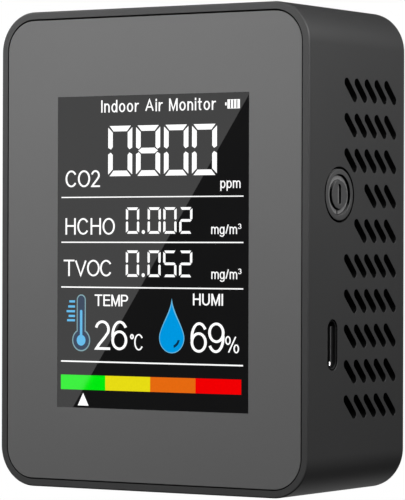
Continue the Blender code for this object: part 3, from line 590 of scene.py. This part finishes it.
# battery symbol: a nub, an outline worn by four charge bars
batt = [rect(16.72 + DX, 17.02 + DX, 69.76, 70.30)]
bx0, bx1, bz0, bz1 = 17.16 + DX, 19.92 + DX, 69.20, 70.80
batt += [rect(bx0 + 0.10, bx1 - 0.10, bz0, bz0 + 0.07), rect(bx0 + 0.10, bx1 - 0.10, bz1 - 0.07, bz1)]
for i in range(4):
    x = bx0 + i * (bx1 - bx0) / 4
    batt.append(rect(x + (0.05 if i == 0 else 0.12), x + (bx1 - bx0) / 4 - (0.05 if i == 3 else 0.12), bz0 - 0.02, bz1 + 0.02))
flat_piece("readout_battery_symbol", batt, LIT_WHITE)


def loft_outline(outer, inner):
    """A flat ring between two outlines of equal length, as quads."""
    n = len(outer)
    return [[outer[i], outer[(i + 1) % n], inner[(i + 1) % n], inner[i]] for i in range(n)]


# thermometer symbol
tx, tz_b, tz_t = -15.02 + DX, 27.27, 34.85


def bulb(r_tube, r_bulb, top):
    a = acos(min(1.0, r_tube / r_bulb)) * 180 / pi
    low = arc(tx, tz_b, r_bulb, 90 - (90 - a) + 0.0, -270 + (90 - a), 40)
    return low + arc(tx, top - r_tube, r_tube, 180, 0, 14)


flat_piece("readout_thermometer_body", [bulb(1.02, 2.04, tz_t + 0.85)], LIT_TEAL)
flat_piece("readout_thermometer_core", [bulb(0.80, 1.80, tz_t + 0.62)], LIT_NAVY, 0.01)
flat_piece("readout_thermometer_fluid", [bulb(0.27, 1.00, 32.85)], LIT_SKY, 0.02)
ticks = [rect(x0 + DX, -16.46 + DX, z - 0.20, z + 0.20) for z, x0 in
         ((34.38, -17.75), (33.45, -18.0), (32.57, -18.36), (31.70, -17.9), (30.91, -18.25))]
flat_piece("readout_thermometer_ticks", ticks, LIT_SKY)


# drop symbol
def drop(r, top, cz, cx=5.19 + DX, n=40):
    """Teardrop: a round belly and two hollow flanks that meet at the top."""
    pts = arc(cx, cz, r, -200, 20, n)
    right, left = pts[-1], pts[0]
    tang = Vector((-sin(radians(20)), cos(radians(20))))
    out = list(pts)
    for i in range(1, 15):
        t = i / 15
        c1 = (right[0] + tang.x * r * 0.9, right[1] + tang.y * r * 0.9)
        c2 = (cx + r * 0.10, top - (top - cz) * 0.32)
        x = (1 - t) ** 3 * right[0] + 3 * t * (1 - t) ** 2 * c1[0] + 3 * t * t * (1 - t) * c2[0] + t ** 3 * cx
        z = (1 - t) ** 3 * right[1] + 3 * t * (1 - t) ** 2 * c1[1] + 3 * t * t * (1 - t) * c2[1] + t ** 3 * top
        out.append((x, z))
    out.append((cx, top))
    mirrored = [(2 * cx - x, z) for x, z in out[len(pts):-1]]
    return out + list(reversed(mirrored))


flat_piece("readout_drop_rim", [drop(2.76, 35.15, 28.02, 5.24 + DX)], LIT_RIM)
flat_piece("readout_drop_fill", [drop(2.62, 34.45, 28.02, 5.24 + DX)], LIT_BLUE, 0.01)
glint_o = arc(5.19 + DX, 28.05, 1.88, -74, -12, 12)
glint_i = arc(5.19 + DX, 28.05, 1.42, -70, -16, 12)
flat_piece("readout_drop_mark", [glint_o + list(reversed(glint_i))], LIT_NAVY, 0.02)


def el(cx, cy, rx, ry, a0, a1, n=18):
    """Points along an ellipse, from angle a0 to a1."""
    return [(cx + rx * cos(radians(a0 + (a1 - a0) * i / n)), cy + ry * sin(radians(a0 + (a1 - a0) * i / n)))
            for i in range(n + 1)]


def loop(cx, cy, rx, ry):
    return el(cx, cy, rx, ry, 0, 360, 32)[:-1] + ["closed"]


# Letter skeletons as centre lines in a box 1 wide and 1 high (baseline 0, top 1), with the width each letter takes
# relative to its height, and the space after it. Lower-case letters have their own heights.
UPRIGHT = 0.84                               # upright strokes are this much bolder than level ones
GLYPHS = {
    "C": (0.76, [el(0.5, 0.5, 0.5, 0.5, 34, 326, 24)]),
    "O": (0.80, [loop(0.5, 0.5, 0.5, 0.5)]),
    "H": (0.66, [[(0, 0), (0, 1)], [(1, 0), (1, 1)], [(0, 0.53), (1, 0.53)]]),
    "T": (0.68, [[(0, 1), (1, 1)], [(0.5, 0), (0.5, 1)]]),
    "V": (0.74, [[(0, 1), (0.5, 0), (1, 1)]]),
    "E": (0.60, [[(1, 1), (0, 1), (0, 0), (1, 0)], [(0, 0.53), (0.92, 0.53)]]),
    "M": (0.76, [[(0, 0), (0, 1)], [(1, 0), (1, 1)], [(0.04, 0.98), (0.5, 0.04), (0.96, 0.98)]]),
    "P": (0.62, [[(0, 0), (0, 1), (0.58, 1)] + el(0.62, 0.735, 0.38, 0.265, 90, -90, 12) + [(0, 0.47)]]),
    "U": (0.66, [[(0, 1)] + el(0.5, 0.36, 0.5, 0.36, 180, 360, 16) + [(1, 1)]]),
    "I": (0.0, [[(0.5, 0), (0.5, 1)]]),
    "A": (0.78, [[(0, 0), (0.5, 1), (1, 0)], [(0.19, 0.34), (0.81, 0.34)]]),
    "2": (0.56, [el(0.5, 0.72, 0.47, 0.28, 168, -28, 16) + [(0.66, 0.40), (0.30, 0.18), (0.06, 0.0), (1.0, 0.0)]]),
    "6": (0.56, [loop(0.5, 0.32, 0.5, 0.32), el(0.54, 0.5, 0.54, 0.5, 36, 184, 20)]),
    "9": (0.56, [loop(0.5, 0.68, 0.5, 0.32), el(0.46, 0.5, 0.54, 0.5, 216, 364, 20)]),
    "3": (0.55, [el(0.45, 0.745, 0.45, 0.255, 165, -80, 14), el(0.45, 0.27, 0.52, 0.27, 82, -165, 16)]),
    "%": (0.95, [loop(0.17, 0.76, 0.17, 0.24), loop(0.83, 0.24, 0.17, 0.24), [(0.22, 0.0), (0.78, 1.0)]]),
    "/": (0.30, [[(0, 0), (1, 1)]]),
    "°": (0.24, [loop(0.5, 0.86, 0.5, 0.13)]),
    "p": (0.50, [[(0, -0.30), (0, 0.70)], loop(0.5, 0.35, 0.48, 0.35)]),
    "g": (0.50, [[(1, 0.70), (1, -0.05)] + el(0.5, -0.08, 0.5, 0.22, 0, -160, 12), loop(0.5, 0.35, 0.48, 0.35)]),
    "m": (0.80, [[(0, 0), (0, 0.70)], el(0.25, 0.45, 0.25, 0.25, 180, 0, 10) + [(0.5, 0)],
                 el(0.75, 0.45, 0.25, 0.25, 180, 0, 10) + [(1.0, 0)]]),
    "n": (0.45, [[(0, 0), (0, 0.70)], el(0.5, 0.42, 0.5, 0.28, 180, 0, 12) + [(1.0, 0)]]),
    "o": (0.52, [loop(0.5, 0.35, 0.5, 0.35)]),
    "d": (0.50, [[(1, 0), (1, 1)], loop(0.48, 0.35, 0.48, 0.35)]),
    "i": (0.0, [[(0.5, 0), (0.5, 0.70)], [(0.5, 0.90), (0.5, 1.0)]]),
    "r": (0.27, [[(0, 0), (0, 0.70)], el(0.95, 0.28, 0.95, 0.40, 165, 82, 8)]),
    "t": (0.26, [[(0.35, 0.95), (0.35, 0.16)] + el(0.75, 0.16, 0.40, 0.16, 190, 275, 6), [(-0.1, 0.68), (1.0, 0.68)]]),
    " ": (0.18, []),
}


def ribbon_sides(pts, w):
    """Left and right edges of a line of width w through pts, mitred at the corners."""
    closed = pts[-1] == "closed"
    p = [Vector(q) for q in (pts[:-1] if closed else pts)]
    p = [q for i, q in enumerate(p) if i == 0 or (q - p[i - 1]).length > 1e-6]
    n, left, right = len(p), [], []
    for i in range(n):
        a = p[i - 1] if (i or closed) else None
        b = p[(i + 1) % n] if (i < n - 1 or closed) else None
        d0 = (p[i] - a).normalized() if a is not None else (b - p[i]).normalized()
        d1 = (b - p[i]).normalized() if b is not None else d0
        n0, n1 = Vector((-d0.y, d0.x)), Vector((-d1.y, d1.x))
        m = n0 + n1
        m = m.normalized() if m.length > 1e-6 else n0
        k = min(1.0 / max(m.dot(n0), 0.25), 2.2)
        left.append(p[i] + m * (w / 2 * k))
        right.append(p[i] - m * (w / 2 * k))
    return left, right, closed


def words(name, items, mat):
    """Generic labels and figures drawn as even strokes; each item is (text, (x0, x1, z0, z1), stroke width, gap) in mm.
    z0 and z1 are the baseline and the top of the capitals or figures."""
    bm = bmesh.new()
    y1, y0 = (SCREEN_Y + 0.01) * MM, (SCREEN_Y - READ_T) * MM
    layer = 0
    for text, (x0, x1, z0, z1), w, gap in items:
        natural, wx = sum(GLYPHS[c][0] for c in text), w / UPRIGHT
        room = (x1 - x0) - wx * len(text) - gap * (len(text) - 1)
        unit = room / natural
        x = x0
        for c in text:
            width, strokes = GLYPHS[c]
            for st in strokes:
                tail = ["closed"] if st[-1] == "closed" else []
                core = st[:-1] if tail else st
                pts = [((x + wx / 2 + px * width * unit + DX) * UPRIGHT, z0 + w / 2 + pz * (z1 - z0 - w)) for px, pz in core]
                if not tail:                 # straight ends run out to the edge of the letter's box
                    for k, j in ((0, 1), (-1, -2)):
                        d = (Vector(pts[k]) - Vector(pts[j])).normalized()
                        if abs(d.y) > 0.98 or abs(d.x) > 0.98:
                            pts[k] = tuple(Vector(pts[k]) + d * w / 2)
                left, right, closed = ribbon_sides(pts + tail, w)
                left, right = ([Vector((q.x / UPRIGHT, q.y)) for q in side] for side in (left, right))
                front = y0 - (layer % 3) * 0.0000012
                layer += 1
                rows = []
                for l, r in zip(left, right):
                    rows.append([bm.verts.new((l.x * MM, front, l.y * MM)), bm.verts.new((r.x * MM, front, r.y * MM)),
                                 bm.verts.new((r.x * MM, y1, r.y * MM)), bm.verts.new((l.x * MM, y1, l.y * MM))])
                n = len(rows)
                for i in range(n if closed else n - 1):
                    a, b = rows[i], rows[(i + 1) % n]
                    for j in range(4):
                        bm.faces.new((a[j], a[(j + 1) % 4], b[(j + 1) % 4], b[j]))
                if not closed:
                    bm.faces.new(rows[0])
                    bm.faces.new(list(reversed(rows[-1])))
            x += width * unit + wx + gap
    bmesh.ops.recalc_face_normals(bm, faces=bm.faces)
    o = place(mesh_from(bm, name), name, mats=(mat,))
    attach(o, "case")
    return o


words("readout_labels", [
    ("CO2", (-18.70, -10.87, 55.41, 58.50), 0.31, 0.20),
    ("HCHO", (-18.68, -7.48, 46.68, 49.72), 0.30, 0.38),
    ("TVOC", (-19.08, -8.06, 39.04, 42.06), 0.30, 0.12),
    ("TEMP", (-11.98, -4.46, 33.60, 35.72), 0.26, 0.25),
    ("HUMI", (9.88, 16.38, 33.97, 36.09), 0.26, 0.33),
], LIT_WHITE)
words("readout_units", [
    ("ppm", (15.74, 20.06, 54.99, 56.83), 0.19, 0.24),
    ("mg/m", (13.80, 19.34, 46.78, 48.58), 0.18, 0.19),
    ("3", (19.56, 20.28, 47.70, 48.64), 0.13, 0.1),
    ("mg/m", (13.86, 19.40, 38.73, 40.55), 0.18, 0.19),
    ("3", (19.62, 20.34, 39.65, 40.62), 0.13, 0.1),
    ("°C", (-3.98, -1.02, 25.64, 28.62), 0.24, 0.10),
    ("%", (16.88, 19.86, 25.53, 28.58), 0.23, 0.1),
], LIT_WHITE)
words("readout_temperature", [("26", (-12.00, -4.62, 25.60, 30.97), 0.46, 0.30)], LIT_WHITE)
words("readout_humidity", [("69", (9.40, 16.72, 25.50, 30.94), 0.46, 0.32)], LIT_WHITE)
words("readout_heading", [("Indoor Air Monitor", (-10.62, 14.68, 69.02, 71.28), 0.24, 0.40)], LIT_WHITE)

# ------------------------------------------------------------------ power button
FACE_X = W / 2 - inset_at(BUTTON_Y)
RING_IN, RING_OUT, CAP_R = 2.54, 3.66, 4.62
RING_D = 0.46
profile = [(0, 0), (RING_IN - 0.04, 0), (RING_IN, -0.04), (RING_IN + 0.08, -RING_D), (RING_IN + 0.18, -RING_D),
           (RING_OUT - 0.22, -RING_D), (RING_OUT - 0.08, -RING_D),
           (RING_OUT, -0.05), (RING_OUT + 0.05, 0), (CAP_R - 0.26, 0), (CAP_R - 0.04, -0.05), (CAP_R, -0.08),
           (CAP_R, -2.6), (5.6, -2.6), (5.6, -3.4), (0, -3.4)]
button = turned("button_cap", profile, 96, (FACE_X, BUTTON_Y, BUTTON_Z), (0, 90, 0), (BUTTON, BUTTON_RING, BUTTON_WELL_SHADE))


def bar_cutter():
    bm = bmesh.new()
    loops = []
    for x, g in ((FACE_X - RING_D, -0.02), (FACE_X - 0.04, 0.0), (FACE_X + 0.2, 0.24)):
        pts = stadium(BUTTON_Y, BUTTON_Z + 0.05, 3.75, 1.08, 0, 12, g)
        loops.append([bm.verts.new((x * MM, y * MM, z * MM)) for y, z in pts])
    n = len(loops[0])
    for a, b in zip(loops, loops[1:]):
        for i in range(n):
            bm.faces.new((a[i], a[(i + 1) % n], b[(i + 1) % n], b[i]))
    bm.faces.new(loops[0])
    bm.faces.new(list(reversed(loops[-1])))
    bmesh.ops.recalc_face_normals(bm, faces=bm.faces)
    return place(mesh_from(bm, "bar_cut"), "bar_cut", mats=(BUTTON,), coll=HIDDEN)


boolean(button, bar_cutter())
tact_lo, tact_hi = mm_box("tact_switch_plunger")
boolean(button, place(rods([((30.13, (tact_lo.y + tact_hi.y) / 2, BUTTON_Z), 1.2, 1.34)], "X", 24), "stem_add",
                      mats=(BUTTON,), coll=HIDDEN), "UNION")
tick = place(blocks([((FACE_X - 0.80, FACE_X - 0.30), (BUTTON_Y - 0.36, BUTTON_Y + 0.02),
                      (BUTTON_Z - RING_OUT + 0.30, BUTTON_Z - RING_IN + 0.02))]), "tick_cut", mats=(BUTTON,), coll=HIDDEN)
boolean(button, tick)
bake(button, 28.0)
for poly in button.data.polygons:            # pale floors in the ring and the bar; painted shade on the steep walls, on bands of floor along them and on the cap's outer edge
    r = sqrt(poly.center.x ** 2 + poly.center.y ** 2) / MM
    z = poly.center.z / MM
    if r < RING_OUT and abs(z + RING_D) < 0.02 and poly.normal.z > 0.9:
        poly.material_index = 1 if RING_IN + 0.18 < r < RING_OUT - 0.22 or r < RING_IN - 0.2 else 2
    elif -2.7 < z < -0.02 and (poly.normal.z < 0.5 or (r > CAP_R - 0.035 and poly.normal.z < 0.9)):
        poly.material_index = 2
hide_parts("power_button")
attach(button, "button")

# ------------------------------------------------------------------ USB-C shell with a rolled mouth
bm = bmesh.new()
u_h, u_t = u_hi.z - u_lo.z, u_hi.y - u_lo.y
loops = []
for x, g in ((u_lo.x, 0.0), (u_hi.x - 0.22, 0.0), (u_hi.x - 0.06, -0.05), (u_hi.x, -0.13), (u_hi.x - 0.02, -0.22),
             (u_hi.x - 0.10, -0.30), (u_lo.x, -0.30)):
    loops.append([bm.verts.new((x * MM, y * MM, z * MM)) for y, z in stadium(USB_Y, USB_Z, u_h, u_t, 0, 24, g)])
n = len(loops[0])
for k, (a, b) in enumerate(zip(loops, loops[1:] + loops[:1])):
    for i in range(n):
        f = bm.faces.new((a[i], a[(i + 1) % n], b[(i + 1) % n], b[i]))
        mid = sum((v.co for v in f.verts), Vector()) / 4 / MM - Vector((0, USB_Y, USB_Z))
        # the rolled rim takes painted shade, the inside near-black with painted shade, and the near lip on the left a
        # painted highlight
        f.material_index = 1 if k in (1, 2) else (2 if k >= 3 else 0)
        if k == 3 and mid.y < -0.9 and mid.z > -2.8:
            f.material_index = 3
bmesh.ops.recalc_face_normals(bm, faces=bm.faces)
usb = place(mesh_from(bm, "usb_shell_rolled"), "usb_shell_rolled", mats=(STEEL, STEEL_SHADE, PORT_DARK, PORT_LIP_HIGHLIGHT))
bake(usb, 50.0)
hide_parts("usb_c_shell")
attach(usb, "case")

# the tongue inside: a foot and a plate whose tip has one bevelled edge carrying a painted highlight, with a painted
# glint at its lower end
t_lo, t_hi = mm_box("usb_c_tongue")
TIP_X = u_hi.x - 0.12
bm = bmesh.new()
outline = [(t_lo.x + 0.9, -0.18), (TIP_X - 0.29, -0.18), (TIP_X - 0.10, -0.18), (TIP_X, -0.08), (TIP_X, 0.38),
           (t_lo.x + 0.9, 0.38)]
loops = [[bm.verts.new((x * MM, (USB_Y + y) * MM, (USB_Z + z) * MM)) for x, y in outline] for z in (-3.62, -2.98, 3.35)]
for level, (a, b) in enumerate(zip(loops, loops[1:])):
    for i in range(6):
        f = bm.faces.new((a[i], a[(i + 1) % 6], b[(i + 1) % 6], b[i]))
        f.material_index = 2 if level == 0 and i == 1 else (1 if i == 2 else 0)
bm.faces.new(list(reversed(loops[0])))
bm.faces.new(loops[2])
foot = [(t_lo.x, -1.15), (t_lo.x + 1.8, -1.15), (t_lo.x + 1.8, 1.15), (t_lo.x, 1.15)]
loops = [[bm.verts.new((x * MM, (USB_Y + y) * MM, (USB_Z + z) * MM)) for x, y in foot] for z in (-3.4, 3.4)]
for i in range(4):
    bm.faces.new((loops[0][i], loops[0][(i + 1) % 4], loops[1][(i + 1) % 4], loops[1][i]))
bm.faces.new(list(reversed(loops[0])))
bm.faces.new(loops[1])
bmesh.ops.recalc_face_normals(bm, faces=bm.faces)
tongue = place(mesh_from(bm, "usb_tongue_plate"), "usb_tongue_plate", mats=(PORT_DARK, PORT_LIP_HIGHLIGHT, PORT_GLINT))
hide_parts("usb_c_tongue")
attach(tongue, "case")

# ------------------------------------------------------------------ rear cover, label, screws
cw, ct, ch = c_hi.x - c_lo.x, 2.15, c_hi.z - c_lo.z
cover = place(box((cw, ct, ch), CASE_R - 1.65, PITCH_SEG, 0, 0.35, 4), "rear_cover_plate", (0, c_hi.y - ct / 2, MID_Z), mats=(CASE,))
boolean(cover, place(blocks([((-6, 20), (c_hi.y - 6.0, c_hi.y - 1.8), (43.0, 44.2)), ((-20, 20), (c_hi.y - 6.0, c_hi.y - 1.8), (5.6, 6.8))]), "rib_add",
                     mats=(CASE,), coll=HIDDEN), "UNION")
spots = [(sx * 28.4, z) for sx in (-1, 1) for z in (boss_z, H - boss_z)]
boolean(cover, place(rods([((x, c_hi.y - 1.2, z), 1.2, 4.0) for x, z in spots], "Y", 32), "bore_cut2", mats=(CASE,), coll=HIDDEN))


def counterbores():
    bm = bmesh.new()
    for x, z in spots:
        loops = []
        for y, r in ((c_hi.y - 1.4, 2.3), (c_hi.y - 0.12, 2.3), (c_hi.y + 0.3, 2.72)):
            loops.append([bm.verts.new((px * MM, y * MM, pz * MM)) for px, pz in ring(r, 48, x, z)])
        n = len(loops[0])
        for a, b in zip(loops, loops[1:]):
            for i in range(n):
                bm.faces.new((a[i], a[(i + 1) % n], b[(i + 1) % n], b[i]))
        bm.faces.new(loops[0])
        bm.faces.new(list(reversed(loops[-1])))
    bmesh.ops.recalc_face_normals(bm, faces=bm.faces)
    return place(mesh_from(bm, "counterbore_cut"), "counterbore_cut", mats=(CASE,), coll=HIDDEN)


boolean(cover, counterbores())
lw, lh, lz = l_hi.x - l_lo.x, l_hi.z - l_lo.z, (l_lo.z + l_hi.z) / 2
boolean(cover, place(box((lw + 0.6, 1.0, lh + 0.6), 1.3, 10), "label_cut", (0, c_hi.y + 0.2, lz), mats=(CASE,), coll=HIDDEN))
bake(cover)
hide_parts("rear_cover")
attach(cover, "case")

label = place(box((lw, l_hi.y - l_lo.y, lh), 1.0, 10, 0, 0.04, 2), "rear_label_sheet",
              (0, (l_lo.y + l_hi.y) / 2, lz), mats=(LABEL,))
bake(label)
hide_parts("rear_label")
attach(label, "case")

for i in (1, 2, 3, 4):
    lo, hi = mm_box(f"rear_screw_{i}")
    x, z, top = (lo.x + hi.x) / 2, (lo.z + hi.z) / 2, hi.y
    r = (hi.x - lo.x) / 2
    head = [(0, 0)] + [(r * s, -(1 - sqrt(max(0.0, 1 - s ** 3))) * 0.55) for s in (0.3, 0.5, 0.65, 0.78, 0.88, 0.95)]
    prof = head + [(r, -0.62), (r, -0.92), (r - 0.08, -1.0), (0.95, -1.0)]
    for k in range(8):                       # thread turns as shallow rings
        prof += [(0.95, -1.3 - k * 0.8), (0.78, -1.5 - k * 0.8), (0.78, -1.7 - k * 0.8), (0.95, -1.9 - k * 0.8)]
    prof += [(0.3, -9.0), (0, -9.0)]
    s = turned(f"rear_screw_{i}_fine", prof, 40, (x, top, z), (-90, 0, 0), (SCREW,))
    arm, wdt, deep = 1.15, 0.30, 0.6
    cross = place(blocks([((x - arm, x + arm), (top - deep, top + 0.3), (z - wdt, z + wdt))]), "cross_a", coll=HIDDEN)
    cross2 = place(blocks([((x - wdt, x + wdt), (top - deep, top + 0.3), (z - arm, z + arm))]), "cross_b", coll=HIDDEN)
    boolean(s, cross)
    boolean(s, cross2)
    bake(s, 35.0)
    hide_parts(f"rear_screw_{i}")
    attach(s, "case")

# ------------------------------------------------------------------ finishes on the carried-over parts
FINISH = {"black_tape": TAPE, "lcd_glass": GLASS_BLACK, "white_plastic": WHITE, "steel": STEEL, "board_green": BOARD,
          "chip_black": CHIP, "gold_plate": GOLD, "connector_cream": CREAM, "polyimide": FILM, "battery_pouch": POUCH,
          "wire_red": WIRE_R, "wire_black": WIRE_B, "label_paper": LABEL, "membrane": MEMBRANE, "case_plastic": CASE,
          "button_plastic": BUTTON, "panel_acrylic": PANEL}
for part in frame["record"]["subparts"]:
    o = nodes[part["node"]]
    o.data.materials.clear()
    o.data.materials.append(FINISH[part["material_slot"]])
    if not o.hide_render and part["node"] in ("battery_cell", "co2_sensor_chamber", "voc_sensor_can", "buzzer"):
        b = o.modifiers.new("soft_edges", "BEVEL")
        b.width, b.segments, b.limit_method, b.angle_limit = 0.00015, 2, "ANGLE", radians(50)

# ------------------------------------------------------------------ floor, backdrop, lights, camera
FLOOR_BOUNCE = 0.10
floor_bm = bmesh.new()
bmesh.ops.create_grid(floor_bm, x_segments=1, y_segments=1, size=6.0)
floor = place(mesh_from(floor_bm, "floor"), "floor", (0, 0, -0.02))
fm, fnt, fb = new_mat("floor_pale")
ftc = fnt.nodes.new("ShaderNodeTexCoord")
pale = ramp(fnt, noise(fnt, ftc.outputs["Object"], 30.0), [(0.3, (0.999, 0.999, 0.999)), (0.7, (1.0, 1.0, 1.0))])
seen = fnt.nodes.new("ShaderNodeEmission")
fnt.links.new(pale, seen.inputs["Color"])
felt = fnt.nodes.new("ShaderNodeBsdfDiffuse")
felt.inputs["Color"].default_value = (FLOOR_BOUNCE, FLOOR_BOUNCE, FLOOR_BOUNCE, 1.0)
flp = fnt.nodes.new("ShaderNodeLightPath")
fmix = fnt.nodes.new("ShaderNodeMixShader")
fnt.links.new(flp.outputs["Is Camera Ray"], fmix.inputs["Fac"])
fnt.links.new(felt.outputs["BSDF"], fmix.inputs[1])
fnt.links.new(seen.outputs["Emission"], fmix.inputs[2])
clear = fnt.nodes.new("ShaderNodeBsdfTransparent")         # mirror-like reflections see past the floor
gmix = fnt.nodes.new("ShaderNodeMixShader")
fnt.links.new(flp.outputs["Is Glossy Ray"], gmix.inputs["Fac"])
fnt.links.new(fmix.outputs["Shader"], gmix.inputs[1])
fnt.links.new(clear.outputs["BSDF"], gmix.inputs[2])
fnt.links.new(gmix.outputs["Shader"], fnt.nodes["Material Output"].inputs["Surface"])
floor.data.materials.append(fm)
floor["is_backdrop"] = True

WORLD_BASE = 0.0
WORLD_LOBES = [((-0.56, -0.83, 0.0), 0.96, 0.99, 1.17),      # pale card the window mirrors
               ((-0.35, 0.8, -0.5), 0.85, 0.97, 0.42),        # low card behind, seen along the bottom edge
                       ((0.563, 0.826, 0.0), 0.90, 0.98, 0.15)]      # card behind the right side
world = bpy.data.worlds.new("studio")
scene.world = world
world.use_nodes = True
wn = world.node_tree
bg = wn.nodes["Background"]
out = wn.nodes["World Output"]
bg.inputs["Color"].default_value = (1, 1, 1, 1)
bg.inputs["Strength"].default_value = 1.0
env = wn.nodes.new("ShaderNodeBackground")
env.inputs["Strength"].default_value = 1.0
tcw = wn.nodes.new("ShaderNodeTexCoord")


def lobe(direction, lo, hi, gain):
    """Soft bright patch of the surroundings round a direction: cosine from lo (dark) to hi (full)."""
    dot = wn.nodes.new("ShaderNodeVectorMath")
    dot.operation = "DOT_PRODUCT"
    dot.inputs[1].default_value = Vector(direction).normalized()
    wn.links.new(tcw.outputs["Generated"], dot.inputs[0])
    m = wn.nodes.new("ShaderNodeMapRange")
    m.interpolation_type = "SMOOTHSTEP"
    m.inputs["From Min"].default_value, m.inputs["From Max"].default_value = lo, hi
    m.inputs["To Min"].default_value, m.inputs["To Max"].default_value = 0.0, gain
    wn.links.new(dot.outputs["Value"], m.inputs["Value"])
    return m.outputs["Result"]


total = None
for args in WORLD_LOBES:
    part = lobe(*args)
    if total is None:
        total = part
    else:
        add = wn.nodes.new("ShaderNodeMath")
        add.operation = "ADD"
        wn.links.new(total, add.inputs[0])
        wn.links.new(part, add.inputs[1])
        total = add.outputs["Value"]
base_l = wn.nodes.new("ShaderNodeMath")
base_l.operation = "ADD"
base_l.inputs[1].default_value = WORLD_BASE
wn.links.new(total, base_l.inputs[0])
wn.links.new(base_l.outputs["Value"], env.inputs["Strength"])
env.inputs["Color"].default_value = (1, 1, 1, 1)
lp = wn.nodes.new("ShaderNodeLightPath")
mixw = wn.nodes.new("ShaderNodeMixShader")
wn.links.new(lp.outputs["Is Camera Ray"], mixw.inputs["Fac"])
wn.links.new(env.outputs["Background"], mixw.inputs[1])
wn.links.new(bg.outputs["Background"], mixw.inputs[2])
wn.links.new(mixw.outputs["Shader"], out.inputs["Surface"])


def softbox(name, loc, target, size, energy, spread=180, glossy=True):
    l = bpy.data.lights.new(name, "AREA")
    l.shape, l.size, l.size_y, l.energy = "RECTANGLE", size[0], size[1], energy
    l.spread = radians(spread)
    o = bpy.data.objects.new(name, l)
    scene.collection.objects.link(o)
    o.location = Vector(loc)
    o.rotation_euler = (Vector(target) - Vector(loc)).to_track_quat("-Z", "Y").to_euler()
    o.visible_camera = False
    o.visible_glossy = glossy
    return o


softbox("front_low", (0.0, -0.14, 0.11), (0, 0, 0.06), (0.12, 0.06), 0.064, glossy=False)
softbox("front_near", (0.0, -0.10, 0.09), (0, 0, 0.06), (0.10, 0.04), 0.0205, glossy=False)
softbox("left_low", (-0.20, -0.22, 0.10), (0, 0, 0.06), (0.12, 0.10), 0.237, glossy=False)
softbox("left_top", (-0.25, -0.20, 0.25), (0, 0, 0.05), (0.15, 0.15), 0.436)
softbox("side_low", (0.17, -0.10, 0.13), (0.03, 0, 0.06), (0.15, 0.06), 0.1205)
softbox("side_front", (0.13, -0.06, 0.14), (0.03, 0, 0.07), (0.12, 0.05), 0.040)
softbox("side_rear", (0.15, 0.03, 0.15), (0.03, 0, 0.07), (0.12, 0.05), 0.101)
softbox("side_top", (0.10, -0.02, 0.20), (0.03, 0, 0.06), (0.06, 0.15), 0.058)
softbox("rear_fill", (-0.22, 0.42, 0.26), (0, 0, 0.05), (0.30, 0.20), 1.6, glossy=False)

cam_data = bpy.data.cameras.new("camera")
cam = bpy.data.objects.new("camera", cam_data)
scene.collection.objects.link(cam)
scene.camera = cam
AZ, EL, ROLL, DIST, TX, TZ, F_PX = 34.272, -0.007, 0.177, 624.804, -0.104, -0.075, 3369.468
a, e, ro = radians(AZ), radians(EL), radians(ROLL)
back = Vector((sin(a) * cos(e), -cos(a) * cos(e), sin(e)))
right = Vector((cos(a), sin(a), 0))
upv = back.cross(right)
if upv.z < 0:
    upv = -upv
r2 = right * cos(ro) + upv * sin(ro)
u2 = upv * cos(ro) - right * sin(ro)
pos = Vector((0, -0.047, H / 2)) + back * DIST + r2 * TX + u2 * TZ
cam.matrix_world = Matrix((
    (r2.x, u2.x, back.x, pos.x * MM),
    (r2.y, u2.y, back.y, pos.y * MM),
    (r2.z, u2.z, back.z, pos.z * MM),
    (0, 0, 0, 1)))
cam_data.sensor_width = 36.0
cam_data.lens = F_PX * 36.0 / 500.0
cam_data.clip_start, cam_data.clip_end = 0.01, 50.0

# a dark card that only reflections see: it gives the window its slanted edge between a bright and a dark half
CARD_L = 380.0


def mirrored(x, z, reach):
    """Where a look from the camera that strikes the window at (x, z) ends up after the reflection."""
    p = Vector((x, SCREEN_Y, z))
    d = (p - pos).normalized()
    return p + Vector((d.x, -d.y, d.z)) * reach


pa, pb = mirrored(20.62, 70.71, CARD_L), mirrored(-17.40, 14.93, CARD_L)
along = (pa - pb)
view_dir = (mirrored(0, 43, CARD_L) - mirrored(0, 43, 0)).normalized()
outward = along.cross(view_dir).normalized()
centre_side = mirrored(20.0, 20.0, CARD_L) - pb
if centre_side.dot(outward) < 0:
    outward = -outward
u1 = along.normalized()
card_pts = [pb - u1 * 45, pa + u1 * 45, pa + u1 * 45 + outward * 120, pb - u1 * 45 + outward * 120]
cbm = bmesh.new()
cbm.faces.new([cbm.verts.new(p * MM) for p in card_pts])
card = place(mesh_from(cbm, "dark_card"), "dark_card")
cm, cnt, cb = new_mat("card_black")
cb.inputs["Base Color"].default_value = (0.0, 0.0, 0.0, 1)
cb.inputs["Specular IOR Level"].default_value = 0.0
cb.inputs["Roughness"].default_value = 1.0
card.data.materials.append(cm)
card.visible_camera = False
card.visible_diffuse = False
card.visible_shadow = False
card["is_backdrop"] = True

scene.view_settings.view_transform = "Standard"
scene.view_settings.look = "None"
scene.view_settings.exposure = 0.0
scene.view_settings.gamma = 1.0

for o in list(HIDDEN.objects):
    bpy.data.objects.remove(o, do_unlink=True)

lo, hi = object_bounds()
